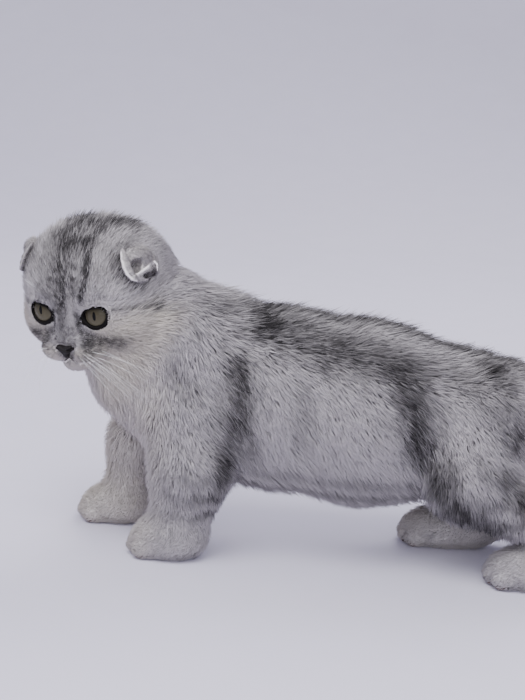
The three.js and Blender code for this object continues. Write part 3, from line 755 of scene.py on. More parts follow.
def coat_material():
    paint = Paint("coat_tufts", 0.75, 0.25)
    along = paint.attribute("along")
    colour = paint.fur_colour(paint.plus(0.72, paint.times(along, 0.42)))
    # Painted shade: each tuft darkens towards its root, where it lies shaded deep in the coat.
    colour = paint.mix(paint.plus(0.8, paint.times(along, 0.5), True), ROOT_SHADE, colour)
    own, skin_normal = paint.add("NewGeometry", {}, "Normal"), paint.attribute("skin_normal", "Vector")
    soft = paint.add("Mix", {0: COAT_SOFTNESS, 4: own, 5: skin_normal}, 1, data_type="VECTOR")
    normal = paint.add("VectorMath", {0: soft}, operation="NORMALIZE")
    paint.feed(paint.shader, {"Base Color": colour, "Normal": normal})
    through = paint.add("BsdfTranslucent", {"Color": colour})
    blend = paint.add("MixShader", {0: COAT_GLOW, 1: paint.shader.outputs[0], 2: through})
    paint.feed(paint.nodes["Material Output"], {"Surface": blend})
    return paint.material


def skin_material(name):
    """The skin under the coat, in the coat's own colours."""
    paint = Paint(name, 0.85, 0.2)
    grain = paint.noise(900)
    colour = paint.mix(paint.times(grain, 0.12), paint.fur_colour(0.95), SKIN)
    paint.feed(paint.shader, {"Base Color": colour})
    paint.bump(grain, 0.6, 0.0006)
    return paint.material


PLAIN = {  # two close colours, roughness, gloss, then the grain's scale, strength and depth
    "lid_leather": ((0.003, 0.0025, 0.0025), (0.008, 0.0065, 0.0065), 0.6, 0.06, 700, 0.3, 0.0003),
    "nose_leather": ((0.006, 0.005, 0.0055), (0.016, 0.0135, 0.0145), 0.5, 0.15, 1500, 0.8, 0.0004),
    "lip_skin": ((0.03, 0.025, 0.025), (0.06, 0.05, 0.05), 0.6, 0.15, 900, 0.4, 0.0003),
    "whisker_hair": ((0.86, 0.86, 0.88), (0.95, 0.95, 0.96), 0.4, 0.5, 300, 0.1, 0.0001),
    "claw_horn": ((0.62, 0.55, 0.50), (0.74, 0.68, 0.64), 0.25, 0.3, 500, 0.1, 0.0001),
    "pad_leather": ((0.10, 0.07, 0.07), (0.17, 0.12, 0.12), 0.6, 0.3, 1200, 0.5, 0.0003),
    "floor_paint": ((0.66, 0.635, 0.77), (0.70, 0.675, 0.81), 0.7, 0.5, 30, 0.05, 0.0005),
}


def plain_material(name):
    colour, other, roughness, gloss, scale, strength, depth = PLAIN[name]
    paint = Paint(name, roughness, gloss)
    grain = paint.noise(scale)
    paint.feed(paint.shader, {"Base Color": paint.mix(grain, colour, other)})
    paint.bump(grain, strength, depth)
    return paint.material


IRIS_FIBRES = ((0.02, 0.0173, 0.0115), (0.052, 0.0455, 0.031))
IRIS_LIT_BELOW, IRIS_MIDDLE, IRIS_EDGE = (0.1, 0.089, 0.062), (0.05, 0.042, 0.026), (0.006, 0.005, 0.005)
PUPIL = (0.0015, 0.0015, 0.0015)
SLIT_HALF = (0.13, 0.34)  # in radii of the iris


def eye_material():
    """Iris with radial fibres, a dark rim and an upright slit, under a wet gloss, with painted light below
    and the upper lid's painted shade above.
    """
    paint = Paint("eye_glass", 0.05, 0.1)
    place = paint.attribute("iris", "Vector")
    across, up = (paint.add("SeparateXYZ", {0: place}, axis) for axis in range(2))
    radius, angle = paint.length(across, up), paint.maths("ARCTAN2", up, across)
    fibres = paint.add("CombineXYZ", {0: paint.times(angle, 7.0), 1: paint.times(radius, 1.6)})
    iris = paint.mix(paint.noise(2.6, 5, fibres), *IRIS_FIBRES)
    # Painted light lightens the lower iris, leaving the top darker as the upper lid's painted shade.
    iris = paint.mix(paint.times(paint.minus(0.25, up), 0.8, True), iris, IRIS_LIT_BELOW)
    iris = paint.mix(paint.times(paint.minus(0.6, radius, True), 1.2), iris, IRIS_MIDDLE)
    iris = paint.mix(paint.soft_step(radius, 0.84, 1.06), iris, IRIS_EDGE)
    slit = paint.length(paint.times(across, 1 / SLIT_HALF[0]), paint.times(up, 1 / SLIT_HALF[1]))
    iris = paint.mix(paint.soft_step(slit, 1.12, 0.88), iris, PUPIL)
    paint.feed(paint.shader, {"Base Color": iris})
    return paint.material


# The skin

SKIN_CELL = 1.15
SKIN_LOW, SKIN_HIGH = (-124, -62, -2), (240, 60, 166)
FLESH = ["head", "neck", "chest", "belly", "rump", "tail_base", "tail_middle", "tail_tip"]
for leg, parts in (("fore", ("upper", "lower")), ("hind", ("thigh", "shank"))):
    for side in SIDES:
        FLESH += [f"{leg}leg_{side}_{part}" for part in parts] + [f"{leg}paw_{side}"]


def smooth_points(points, quads, rounds):
    """Draws each point half way to the middle of its neighbours."""
    edges = np.concatenate([quads[:, [a, (a + 1) % 4]] for a in range(4)])
    start, end = np.concatenate((edges, edges[:, ::-1])).T
    count = np.bincount(start, minlength=len(points))
    for _ in range(rounds):
        sums = np.stack([np.bincount(start, points[end, a], len(points)) for a in range(3)], 1)
        points = (points + sums / count[:, None]) / 2
    return points


skin_points, skin_quads = wrap(skin_field, SKIN_LOW, SKIN_HIGH, SKIN_CELL)
skin_points = smooth_points(skin_points, skin_quads, 2)
skin_normals = unit(slope_of(skin_field, skin_points, 0.4))
skin = make_mesh("skin", skin_points, skin_quads)
for key, value in zip(("dark", "warm"), markings(skin_points, skin_normals)):
    set_value(skin, key, value)
set_value(skin, "shade", 0.35 + 0.3 * waves(skin_points, 3))
finish_piece(skin, skin_material("skin_under_coat"), "coat", *FLESH)

# Ears: a folded flap with its rim, hollow and opening, in the ear's own frame (outward, back, up)

EAR_CELL, EAR_TUFT_DENSITY = 0.4, 10.0
EAR_FLAP = ((-0.4, 0.9, 0.9), (3.2, 8.6, 7.9))
EAR_BAND = [((1.6, -6.2, 8.6), 0.9, 0.9), ((2.5, -6.9, 5.1), 1.6, 1.0), ((2.7, -7.1, 1.7), 1.9, 1.1),
            ((2.5, -6.5, -1.5), 1.7, 1.1), ((2.1, -5.3, -4.0), 1.2, 1.0), ((1.6, -4.0, -5.5), 0.6, 0.6)]
EAR_MARGIN = [((2.0, -7.4, 8.0), 0.3, 0.3), ((3.0, -8.8, 3.9), 0.35, 0.35), ((3.1, -9.1, 1.1), 0.45, 0.45),
              ((2.9, -8.5, -2.1), 0.5, 0.5), ((2.6, -6.8, -4.7), 0.5, 0.5), ((1.8, -4.2, -6.1), 0.3, 0.3)]
EAR_LOBE = ((0.8, 1.2, 4.0), (3.8, 4.9, 4.8))
EAR_LOBE_EDGE = [((2.4, 5.4, 0.4), 0.35, 0.35), ((3.2, 2.7, -1.5), 0.5, 0.5), ((3.2, -0.7, -2.6), 0.5, 0.5),
                 ((2.2, -3.1, -3.3), 0.35, 0.35)]
EAR_HOLLOW = [((5.2, -2.2, 1.3), (5.8, 3.3, 2.6)), ((4.8, -2.5, -0.9), (5.0, 2.1, 2.4))]
EAR_OPENING = [((4.4, 2.2, -4.9), (5.4, 2.6, 1.5)), ((4.0, 4.8, -6.4), (5.2, 2.0, 2.3)),
               ((4.2, 6.2, -3.7), (5.2, 1.4, 2.3))]
EAR_POCKET = [((1.8, 5.7, 0.2), 0.35, 0.35), ((2.4, 7.3, 0.0), 0.45, 0.45), ((2.4, 8.1, -1.4), 0.45, 0.45),
              ((1.6, 7.8, -4.1), 0.3, 0.3)]


def ear_frame(place, sunk):
    place = np.array(place)
    outward = unit(slope_of(face_field, place[None], 0.05))[0]
    back = unit(np.cross((0, 0, 1), outward))
    root = place - outward * (face_field(place[None])[0] + sunk)
    return root, np.column_stack((outward, back, np.cross(outward, back)))


ear_band = chain(EAR_BAND, 0.8)
ear_rims = [chain(EAR_MARGIN, 0.4), union([chain(EAR_LOBE_EDGE, 0.4), chain(EAR_POCKET, 0.4)], 0.3)]
ear_hollow = union([ellipsoid(*form) for form in EAR_HOLLOW], 0.8)
ear_opening = union([ellipsoid(*form) for form in EAR_OPENING], 0.8)


def rim_field(e):
    """The bare margin, and the ridges of the lobe and the pocket."""
    return np.minimum(*[rim(e) for rim in ear_rims])


def ear_form(e):
    flap = smooth_min(ellipsoid(*EAR_FLAP)(e), ellipsoid(*EAR_LOBE)(e), 1.2)
    flap = smooth_min(flap, ear_band(e), 0.8)
    flap = smooth_max(flap, -np.minimum(ear_hollow(e), ear_opening(e)), 0.6)
    return smooth_min(flap, rim_field(e), 0.5)


def ear_depth(e):
    """1 deep in the hollow or the opening, 0 on the flap, the lobe and the rims; it places the ear's painted
    shade.
    """
    inside = np.maximum(0.75 * step(1.2, -0.4, ear_hollow(e)) * step(3.8, 2.2, e[:, 0]),
                        1.1 * step(1.0, -0.2, ear_opening(e)) * step(3.4, 1.8, e[:, 0]))
    return inside * step(-0.1, 0.5, rim_field(e))


def ear_bare(e):
    """1 on the smooth bright margin and ridges, where the painted highlight goes."""
    return step(0.5, 0.0, rim_field(e))


# Coat of tufts over a surface

def surface_samples(points, quads, normals, density):
    """Roots spread evenly over the quads, density per square millimetre at each quad's middle."""
    corners = points[quads]
    cross = np.cross(corners[:, 2] - corners[:, 0], corners[:, 3] - corners[:, 1])
    wanted = 0.5 * np.linalg.norm(cross, axis=1) * density(corners.mean(1))
    count = np.floor(wanted + rng.random(len(quads))).astype(int)
    pick = np.repeat(np.arange(len(quads)), count)
    u, v = rng.random((2, len(pick), 1))
    weights = np.stack([(1 - u) * (1 - v), u * (1 - v), u * v, (1 - u) * v], 1)
    return (weights * corners[pick]).sum(1), unit((weights * normals[quads][pick]).sum(1))


def clump(roots, tips, pull):
    """Draws each tip towards the tip of the nearest leading tuft, so that tufts gather in locks."""
    leaders = rng.permutation(len(roots))[:max(8, int(len(roots) / LOCK))]
    tree = kdtree.KDTree(len(leaders))
    for i, at in enumerate(leaders):
        tree.insert(roots[at], i)
    tree.balance()
    nearest = np.array([leaders[tree.find(root)[1]] for root in roots])
    own = tips - roots
    return roots + own * (1 - pull)[:, None] + (tips[nearest] - roots) * pull[:, None], nearest


TUFT_FACES = np.array([(0, 2, 1), (0, 3, 2), (0, 1, 3), (1, 2, 4), (2, 3, 4), (3, 1, 4)])
TUFT_ALONG = np.array((0, 0.45, 0.45, 0.45, 1))
TUFT_POINTS = len(TUFT_ALONG)
PATCH = 0.003  # size of a tuft's patch on the unwrap
PATCH_SPOTS = (np.array([(0.5, 0), (0, 0.5), (1, 0.5), (0.5, 0.6), (0.5, 1)]) - 0.5) * PATCH
BEND_AT = 0.42
LOCK = 14  # tufts in a lock
PAST_SOLIDS = 0.5  # how far tips may stand out of the solids' surface
ROOT_DEPTH = 0.6


def make_tufts(name, roots, normals, lies, lengths, lifts, widths, pulls, unwrap, values, stray=None):
    """Closed spindles: a root in the skin, a three-sided middle where each tuft bends over, and a tip."""
    lift, length = np.radians(lifts)[:, None], lengths[:, None]
    tips = roots + length * (lies * np.cos(lift) + normals * np.sin(lift))
    tips, leader = clump(roots, tips, pulls)
    for _ in range(0 if stray is None else 2):
        over = outer_field(tips) - PAST_SOLIDS - stray
        out = over > 0
        tips[out] -= slope_of(outer_field, tips[out]) * over[out, None]
    tips[:, 2] = np.maximum(tips[:, 2], 0.3)
    middle = roots + (tips - roots) * BEND_AT + normals * (0.1 * length * np.sin(lift) + 0.04 * length)
    aside, outward = unit(np.cross(lies, normals)) * widths[:, None] * 0.5, normals * widths[:, None] * 0.45
    rows = [roots - normals * ROOT_DEPTH, middle - aside, middle + aside, middle + outward, tips]
    points = np.stack(rows, 1).reshape(-1, 3)
    points[:, 2] = np.maximum(points[:, 2], 0.2)
    faces = (TUFT_FACES[None] + TUFT_POINTS * np.arange(len(roots))[:, None, None]).reshape(-1, 3)
    piece = make_mesh(name, points, faces)
    for key, value in values.items():
        set_value(piece, key, np.repeat(0.55 * value + 0.45 * value[leader], TUFT_POINTS))
    set_value(piece, "along", np.tile(TUFT_ALONG, len(roots)))
    set_value(piece, "skin_normal", np.repeat(normals, TUFT_POINTS, axis=0))
    spots = (unwrap[:, None] + PATCH_SPOTS[None]).reshape(-1, 2)
    layer = piece.data.uv_layers.new(name="OFBake")
    layer.data.foreach_set("uv", spots[faces.ravel()].astype(np.float32).ravel())
    return piece


# Unwraps of the skin's own shape: along and round a limb or trunk, and outward from the nose on the head

def unroll(p, stations):
    centres = np.array([s[0] for s in stations], float)
    lengths = np.linalg.norm(np.diff(centres, axis=0), axis=1)
    starts = np.concatenate(([0], np.cumsum(lengths)))
    best = np.full(len(p), 1e9)
    along, turn = np.zeros(len(p)), np.zeros(len(p))
    for i, (a, b) in enumerate(zip(centres, centres[1:])):
        way = (b - a) / lengths[i]
        t = (p - a) @ way
        off = p - a - np.clip(t, 0, lengths[i])[:, None] * way
        gap = np.linalg.norm(off, axis=1)
        side = unit(np.cross(way, (0, 1, 0)))
        here = gap < best
        best[here] = gap[here]
        along[here] = starts[i] + t[here]
        turn[here] = np.arctan2(off[here] @ side, off[here, 1]) / (2 * math.pi) + 0.5
    low, high = along.min(), along.max()
    return np.column_stack(((along - low) / (high - low), turn)) * 0.98 + 0.01


def unroll_head(p):
    way = unit(to_head(p))
    angle = np.arccos(np.clip(way[:, 0], -1, 1)) / math.pi
    flat = unit(way[:, 1:])
    return 0.5 + 0.485 * angle[:, None] * flat


STATIONS = {"neck": NECK + TRUNK[:1], "chest": TRUNK, "belly": TRUNK, "rump": TRUNK, "tail": TAIL}
for name, leg in LEGS.items():
    STATIONS[name] = leg["joints"] + [(leg["paw"][0], 1, 1)]
REGIONS = ("face", "head_back", "neck", "chest", "belly", "rump", *LEGS, "tail", "brow")
muscle_fields = [ellipsoid(*leg["muscle"]) for leg in LEGS.values()]


def region_of(p):
    """For each place, the number in REGIONS of the piece that its tuft belongs to."""
    at, x = REGIONS.index, p[:, 0]
    head = (p - HEAD_CUT[0]) @ HEAD_CUT[1] < 0
    q = to_head(p)
    forehead = head & (q[:, 0] > 2) & (q[:, 2] > 0)
    numbers = [at(name) for name in ("brow", "face", "head_back", "neck", "chest", "belly")]
    region = np.select([forehead, head & (q[:, 0] > 2), head, x < -36, x < 14, x < 66], numbers, at("rump"))
    limbs = np.stack([field(p) for field in leg_fields], 1)
    nearest = limbs.argmin(1)
    own = np.stack([field(p) for field in muscle_fields], 1)[np.arange(len(p)), nearest]
    on_leg = ~head & (((own < 0) & (limbs.min(1) < 6)) | ((trunk_field(p) > -3) & (p[:, 2] < 60)))
    region = np.where(on_leg, at("foreleg_left") + nearest, region)
    return np.where(~head & (x > 118) & (tail_field(p) < limbs.min(1)), at("tail"), region)


def rim_distance(q):
    """1 on the outer edge of the nearer eye's rim, more outside it."""
    rings = []
    for side in SIDES.values():
        e = to_eye(q, side)
        rings.append(np.where(e[:, 0] > 0, lid_ring(e, side), 9))
    return np.minimum(*rings)


def coat_density(p):
    """Tufts per square millimetre: fine and close on the face, none on the eyes, the nose and the soles."""
    q, w = to_head(p), head_weight(p)
    body = 2.3 + 0.3 * step(-8, 4, trunk_field(p))
    density = body + (3.9 + 4.6 * step(44, 16, from_face(q)) - body) * w
    ring = rim_distance(q)
    density *= 1 - w * (ring < 0.94)
    density *= 1 + 0.7 * w * step(1.7, 1.1, ring)
    density *= 1 - w * (nose_whole(q - NOSE_AT + NOSE_SINK) < 0.5)
    density *= 1 - w * 0.9 * (mouth_gap(q) < 0.45)
    return density * (p[:, 2] > 0.8)


# The coat on the skin

roots, root_normals = surface_samples(skin_points, skin_quads, skin_normals, coat_density)
many, root_q = len(roots), to_head(roots)
region, weight = region_of(roots), head_weight(roots)
lies = unit(coat_lie(roots, root_normals) + 0.2 * rng.normal(size=(many, 3)))
dark, warm = markings(roots, root_normals)

# Where the coat changes, each 0 to 1
paw = step(24, 10, roots[:, 2])
crown = weight * step(16, 32, root_q[:, 2])
nape = weight * step(34, 52, from_face(root_q))
rim = weight * step(1.8, 1.05, rim_distance(root_q))
lips = weight * step(2.2, 0.4, mouth_gap(root_q))
tail_end = step(206, 226, roots[:, 0])
upper = (1 - weight) * step(84, 104, roots[:, 2])
plain_flank = (1 - weight) * step(98, 84, roots[:, 2]) * step(-40, -8, roots[:, 0])

# Lift over the skin in degrees, length and width in millimetres, and pull towards the lock
lifts = 38 - 17 * weight + 10 * nape + 22 * crown - 5 * paw + rng.normal(0, 6, many)
along_tail = np.clip(root_normals @ unit(TAIL_END_WAY), 0, 1)
lifts += tail_end * (np.degrees(np.arcsin(along_tail)) - lifts) * (along_tail > 0.35)
lifts = np.clip(lifts + 16 * rim, 12, 85)
lengths = coat_height(roots) / np.sin(np.radians(np.clip(lifts, 22, 60))) * rng.uniform(0.75, 1.2, many)
lengths *= (1 - 0.35 * rim) * (1 - 0.4 * lips)
widths = (0.2 + 0.036 * lengths) * rng.uniform(0.75, 1.25, many)
pulls = np.clip(0.34 - 0.14 * weight - 0.14 * paw, 0.1, 0.5) * rng.uniform(0.5, 1.3, many)

dark = np.clip(dark * (1 + (0.22 + 0.2 * weight) * rng.normal(size=many)), 0, 1)
shade = 0.38 + (0.2 + 0.14 * paw) * rng.normal(size=many) + 0.4 * waves(roots, 9, 6) + 0.25 * waves(roots, 4)
shade = np.clip(shade * (1 - 0.75 * warm) - 0.14 * plain_flank, 0, 1)
loose = 3.2 * crown + 2.2 * upper + 0.8 * (1 - weight) * (1 - paw)
stray = rng.random(many) ** 6 * loose + 2 * tail_end  # how far single tufts stand out of the rest
lengths += 1.6 * stray

coat = coat_material()
for number, name in enumerate(REGIONS):
    own = region == number
    unwrap = unroll(roots[own], STATIONS[name]) if name in STATIONS else unroll_head(roots[own])
    tufts = [part[own] for part in (roots, root_normals, lies, lengths, lifts, widths, pulls)]
    values = {"dark": dark[own], "warm": warm[own], "shade": shade[own]}
    finish_piece(make_tufts("coat_" + name, *tufts, unwrap, values, stray[own]), coat, "coat")

# The two ears and their tufts

ear_skin = skin_material("ear_skin")
ear_points, ear_quads = wrap(ear_form, (-6, -12, -11), (8, 12, 12), EAR_CELL)
ear_points = settle(ear_form, ear_points, EAR_CELL)
ear_normals = unit(slope_of(ear_form, ear_points))
for name, (place, sunk, flatness, rim_highlight, ground) in EARS.items():
    side = SIDES[name]
    mirror, flat = (1, side, 1), (flatness, 1, 1)
    ear_root, ear_turn = ear_frame(place, sunk)
    points = from_head(((ear_points * flat) @ ear_turn.T + ear_root) * mirror)
    normals = unit((ear_normals / flat) @ ear_turn.T * mirror) @ HEAD.T
    quads = ear_quads if side > 0 else ear_quads[:, ::-1]
    # bright is a painted highlight on the bare margins: it lightens them and clears their flecks.
    deep, bright = ear_depth(ear_points), ear_bare(ear_points) * rim_highlight
    band = step(0.6, 0.0, ear_band(ear_points))
    ear = make_mesh("ear_" + name + "_flap", points, quads)
    # deep puts painted shade in the hollow and the opening.
    set_value(ear, "dark", np.clip(ground + 0.14 * band + 0.9 * deep - 0.4 * bright, 0, 1))
    set_value(ear, "warm", 0.3 + 0.4 * deep)
    set_value(ear, "shade", np.clip(0.55 - 0.4 * bright + 0.25 * waves(ear_points, 2), 0, 1))
    finish_piece(ear, ear_skin, "coat", "ear_" + name)

    roots, normals = surface_samples(points, quads, normals, lambda p: EAR_TUFT_DENSITY)
    local = ((to_head(roots) * mirror - ear_root) @ ear_turn) / flat
    shown = (ear_depth(local) < 0.35) & (local[:, 0] > -2.5) & (ear_bare(local) < 0.7)
    roots, normals, local = roots[shown], normals[shown], local[shown]
    many = len(roots)
    way = np.array((0, 0.4, -1)) @ ear_turn.T * mirror @ HEAD.T
    lies = unit(way - (normals @ way)[:, None] * normals + 0.15 * rng.normal(size=(many, 3)))
    # Tufts at the rims of the hollow and the opening darken as painted shade (edge).
    edge = step(1.4, 0.3, np.minimum(ear_hollow(local), ear_opening(local)))
    band = step(0.8, 0.0, ear_band(local))
    longer = 1.6 * step(1, 7, local[:, 1] + 0.7 * local[:, 2])
    lengths = rng.uniform(0.8, 1.7, many) * (1 - 0.4 * band) + longer
    values = {"dark": np.clip(0.12 + 0.25 * edge + 0.12 * band, 0, 1), "warm": np.full(many, 0.25),
              "shade": rng.uniform(0.2, 0.8, many)}
    lifts, widths = rng.uniform(8, 22, many), rng.uniform(0.14, 0.22, many)
    unwrap = (local[:, 1:] + 12) / 24
    tufts = (roots, normals, lies, lengths, lifts, widths, np.full(many, 0.1))
    finish_piece(make_tufts("coat_ear_" + name, *tufts, unwrap, values), coat, "coat")

# Eyes, lids, nose, mouth and whiskers

GAZE = {1: (0.99, -0.01, 0.115), -1: (0.968, 0.08, 0.21)}  # where each eye looks, in its own frame
SLIT_UP = (-0.34, -0.09, 0.94)  # the way the slits stand, in the head's frame
IRIS_ANGLE = math.radians(42)  # from its middle to its edge


def sphere(polar, sides):
    """Places on a unit sphere round +Z at angles from its top, with both ends, and triangles between them."""
    spin = np.arange(sides) * 2 * math.pi / sides
    points = [(0, 0, 1)]
    for angle in polar:
        out, up = math.sin(angle), math.cos(angle)
        points += [(out * math.cos(s), out * math.sin(s), up) for s in spin]
    points.append((0, 0, -1))
    faces = []
    for s in range(sides):
        n = (s + 1) % sides
        faces.append((0, 1 + s, 1 + n))
        for row in range(len(polar) - 1):
            a, b = 1 + row * sides, 1 + (row + 1) * sides
            faces += [(a + s, b + s, b + n), (a + s, b + n, a + n)]
        a = 1 + (len(polar) - 1) * sides
        faces.append((a + s, len(points) - 1, a + n))
    return np.array(points), np.array(faces)


def eye_piece(side, name):
    at, turn = eye_frame(side)
    gaze = unit(np.array(GAZE[side]))
    across = unit(np.cross(SLIT_UP @ turn, gaze))
    polar = np.linspace(0.03, math.pi, 40)[:-1]
    ways, faces = sphere(polar, 64)
    points = ways @ (across, np.cross(gaze, across), gaze) * EYE_RADIUS
    piece = make_mesh("eyeball_" + name, from_head(points @ turn.T + at), faces)
    angle = np.concatenate(([0], np.repeat(polar, 64), [math.pi]))[:, None]
    place = unit(ways * (1, 1, 0)) * angle / IRIS_ANGLE
    place[-1] = (9, 0, 0)
    set_value(piece, "iris", place)
    return piece


def tube(points, radii, sides=7):
    """A closed tube with pointed ends along points."""
    points, radii = np.array(points, float), np.array(radii, float)
    ways = unit(np.gradient(points, axis=0))
    reference = np.array((0, 0, 1.0)) if abs(ways[0][2]) < 0.9 else np.array((1.0, 0, 0))
    spin = np.arange(sides)[:, None] * 2 * math.pi / sides
    rings = []
    for point, way, radius in zip(points, ways, radii):
        x = unit(np.cross(way, reference))
        reference = np.cross(x, way)
        rings.append(point + radius * (np.cos(spin) * x - np.sin(spin) * reference))
    ends = np.array([points[0] - ways[0] * radii[0] * 0.7, points[-1] + ways[-1] * radii[-1] * 0.7])
    first = len(points) * sides
    top = first - sides
    faces = []
    for a in range(top):
        b = a + 1 if (a + 1) % sides else a + 1 - sides
        faces += [(a, b, b + sides), (a, b + sides, a + sides)]
    for s in range(sides):
        n = (s + 1) % sides
        faces += [(first, n, s), (first + 1, top + s, top + n)]
    return np.concatenate((*rings, ends)), np.array(faces)


def join(parts):
    points, faces, start = [], [], 0
    for p, f in parts:
        points.append(p)
        faces.append(f + start)
        start += len(p)
    return np.concatenate(points), np.concatenate(faces)


def skin_ahead(points, turn, at):
    """How far forward the face's skin lies at places in an eye's frame."""
    e = np.column_stack((np.full(len(points), 14.0), points))
    for _ in range(50):
        q = e @ turn.T + at
        e[:, 0] -= lid_skin(q, face_field(q) + coat_height(from_head(q))) / 2
    return e[:, 0]


def lid_piece(side, name):
    """An eye's dark rim: a rounded lip from the eyeball out under the fur, widest at the inner corner."""
    at, turn = eye_frame(side)
    spin = np.linspace(0, 2 * math.pi, LID_COUNT, endpoint=False)
    way = np.column_stack((np.cos(spin), np.sin(spin)))
    bulge, half, width = lid_bulge(spin)[:, None], lid_half(way[:, 1]), lid_width(spin, side)[:, None]
    rows = []
    for share in np.linspace(0, 1.35, LID_ROWS):
        spot = LID_CENTRE + way * bulge * (half + share * width)
        ball = np.sqrt(np.maximum(EYE_RADIUS ** 2 - (spot ** 2).sum(1), 2.0))
        lip = min(1, math.sqrt(share / 0.35))
        over = (skin_ahead(spot * (side, 1), turn, at) - ball) * lip + 0.15 * lip
        forward = ball + 0.1 + np.maximum(over, 0) - 1.2 * max(0, share - 1.05)
        rows.append(np.column_stack((forward, spot[:, 0] * side, spot[:, 1])))
    rows = np.array(rows + [row - (LID_DEPTH, 0, 0) for row in rows[::-1]])
    number = np.arange(len(rows) * LID_COUNT).reshape(len(rows), LID_COUNT)
    beside, below = np.roll(number, -1, 1), np.roll(number, -1, 0)
    across = np.roll(below, -1, 1)
    quads = (number, below, across, beside) if side > 0 else (number, beside, across, below)
    points = rows.reshape(-1, 3) @ turn.T + at
    return make_mesh("lid_" + name, from_head(points), np.stack(quads, -1).reshape(-1, 4))


eye_glass, lid_leather = eye_material(), plain_material("lid_leather")
for name, side in SIDES.items():
    finish_piece(eye_piece(side, name), eye_glass, "eye", "eye_" + name)
    finish_piece(lid_piece(side, name), lid_leather, "nose_leather")

nose_points, nose_quads = wrap(nose_form, (-5, -7, -6), (5, 7, 5), NOSE_CELL)
nose_points = settle(nose_form, nose_points, NOSE_CELL)
nose = make_mesh("nose_leather", from_head(nose_points + NOSE_AT - NOSE_SINK), nose_quads)
finish_piece(nose, plain_material("nose_leather"), "nose_leather", "nose")


def face_at(left, up):
    """The face's surface straight ahead of a place, sunk by the coat."""
    q = np.array([[44.0, left, up]])
    for _ in range(60):
        q[0, 0] -= (face_field(q)[0] + coat_height(from_head(q))[0]) / 2
    return q[0]


lips = []
for side in SIDES.values():
    line = np.array([face_at(left * side, up) + (0.35, 0, 0) for left, up in MOUTH])
    fine = np.column_stack([np.interp(np.linspace(0, 3, 13), range(4), line[:, a]) for a in range(3)])
    lips.append(tube(from_head(fine), np.linspace(0.34, 0.14, 13)))
line = [face_at(0, up) + (0.3, 0, 0) for up in (-19.5, -20.6, -21.8)]
lips.append(tube(from_head(line), (0.3, 0.3, 0.34)))
finish_piece(make_mesh("mouth_line", *join(lips)), plain_material("lip_skin"), "nose_leather")


WHISKER_DROOP, BROW_DROOP = (-0.3, 0, -0.42), (-0.1, 0, -0.12)  # of the tip, in lengths of the hair
WHISKER_RADIUS, BROW_RADIUS = 0.08, 0.06


def hair(root, way, length, droop, radius, count):
    t = np.linspace(0, 1, count)[:, None]
    path = root + unit(np.array(way)) * length * t + np.array(droop) * length * t ** 2
    return tube(from_head(path), radius * (1 - 0.8 * t[:, 0]), 5)


whiskers = []
for side in SIDES.values():
    for up, first, count in WHISKER_ROWS:
        for i in range(count):
            root = face_at((first + 2.4 * i) * side, up - 0.15 * i)
            length = rng.uniform(24, 38) * (0.8 + 0.07 * i)
            way = (0.2 - 0.22 * i, side, 0.1 * (up + 18.4) - 0.4 + rng.normal(0, 0.12))
            whiskers.append(hair(root, way, length, WHISKER_DROOP, WHISKER_RADIUS, 9))
    for i in range(3):
        root = face_at(side * (13 + 2.0 * i), 7.5 + 0.6 * i)
        way = (0.5, side * (0.3 + 0.12 * i), 0.75)
        whiskers.append(hair(root, way, rng.uniform(11, 17), BROW_DROOP, BROW_RADIUS, 7))
finish_piece(make_mesh("whiskers", *join(whiskers)), plain_material("whisker_hair"), "whisker")

# Claws and pads, under each toe and the middle of each paw

CLAW_PATH = np.array([(2.2, 0, 0.8), (0.8, 0, 0.8), (-0.4, 0, 0.2), (-0.9, 0, -0.7)])
CLAW_RADII = (0.6, 0.5, 0.32, 0.1)
TOE_PAD, PALM_PAD = (2.6, 1.9, 1.2), (5.0, 6.0, 1.45)
claws, pads = [], []
pad_ways, pad_faces = sphere(np.arange(1, 8) * math.pi / 8, 12)
for leg in LEGS.values():
    x, y, _ = leg["paw"][0]
    for spread, reach in zip(TOE_SPREAD, TOE_REACH):
        tip = np.array((x - reach - TOE_RADII[0] + 1.1, y + spread, 4.4))
        claws.append(tube(tip + CLAW_PATH, CLAW_RADII, 8))
        pads.append((pad_ways * TOE_PAD + (x - reach - 1.6, y + spread, 1.4), pad_faces))
    pads.append((pad_ways * PALM_PAD + (x + 1.0, y, 1.6), pad_faces))
finish_piece(make_mesh("claws", *join(claws)), plain_material("claw_horn"), "claw")
finish_piece(make_mesh("paw_pads", *join(pads)), plain_material("pad_leather"), "nose_leather")

# Camera, floor and light; lengths from here on are in metres

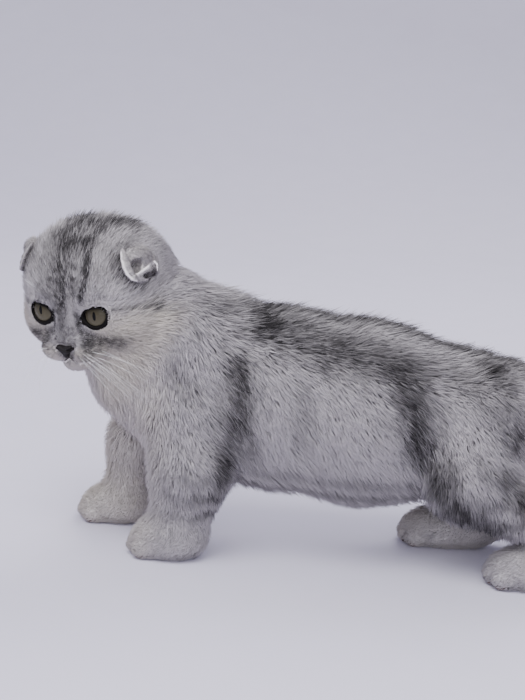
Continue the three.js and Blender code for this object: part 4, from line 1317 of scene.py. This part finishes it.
AZIMUTH, ELEVATION, ROLL = math.radians(2), math.radians(12), math.radians(4)
DISTANCE, TARGET = 700, (0, 0, 97)  # in the drawing frame
LENS, SENSOR_HEIGHT = 75.6, 36
back = np.array((math.sin(AZIMUTH), -math.cos(AZIMUTH), math.tan(ELEVATION))) * math.cos(ELEVATION)
right = np.array((math.cos(AZIMUTH), math.sin(AZIMUTH), 0))
up = np.cross(back, right)
rolled = math.cos(ROLL) * right + math.sin(ROLL) * up
upright = -math.sin(ROLL) * right + math.cos(ROLL) * up
camera_data = bpy.data.cameras.new("camera")
camera_data.sensor_fit = "VERTICAL"
camera_data.sensor_height = SENSOR_HEIGHT
camera_data.lens = LENS
camera_data.clip_start = 0.01
camera = place_object("camera", camera_data)
basis = Matrix(np.column_stack((rolled, upright, back)).tolist()).to_4x4()
camera.matrix_world = Matrix.Translation(Vector(world(np.array(TARGET) + back * DISTANCE))) @ basis
bpy.context.scene.camera = camera

# The floor sweeps up into a backdrop
FLOOR_HALF, FLOOR_END, SWEEP, WALL_HEIGHT = 12.0, 0.9, 1.2, 4.0
profile = [(-FLOOR_HALF, 0.0), (FLOOR_END, 0.0)]
for angle in np.linspace(0.1, math.pi / 2, 12):
    profile.append((FLOOR_END + SWEEP * math.sin(angle), SWEEP * (1 - math.cos(angle))))
profile.append((FLOOR_END + SWEEP, WALL_HEIGHT))
points = [(x, y, z) for y, z in profile for x in (-FLOOR_HALF, FLOOR_HALF)]
faces = [(2 * i, 2 * i + 1, 2 * i + 3, 2 * i + 2) for i in range(len(profile) - 1)]
floor_mesh = bpy.data.meshes.new("floor")
floor_mesh.from_pydata(points, [], faces)
floor_mesh.polygons.foreach_set("use_smooth", [True] * len(faces))
floor_mesh.materials.append(plain_material("floor_paint"))
place_object("floor", floor_mesh)

LIGHTS = {  # place, what it points at, size, power
    "key": ((-0.35, -0.6, 1.2), (-0.05, 0, 0.08), 0.9, 16),
    "fill": ((0.1, -1.3, 0.35), (0, 0, 0.08), 1.2, 9),
    "back": ((0.2, 0.8, 1.0), (0, 0, 0.08), 0.8, 8),
}
for name, (place, aim, size, power) in LIGHTS.items():
    data = bpy.data.lights.new(name, "AREA")
    data.shape = "DISK"
    data.size = size
    data.energy = power
    light = place_object(name, data)
    light.location = place
    light.rotation_euler = (Vector(aim) - Vector(place)).to_track_quat("-Z", "Y").to_euler()
studio = bpy.data.worlds.new("studio")
studio.use_nodes = True
glow = studio.node_tree.nodes["Background"].inputs
glow["Color"].default_value = (0.86, 0.86, 0.93, 1)
glow["Strength"].default_value = 1.0
bpy.context.scene.world = studio


bpy.context.view_layer.update()
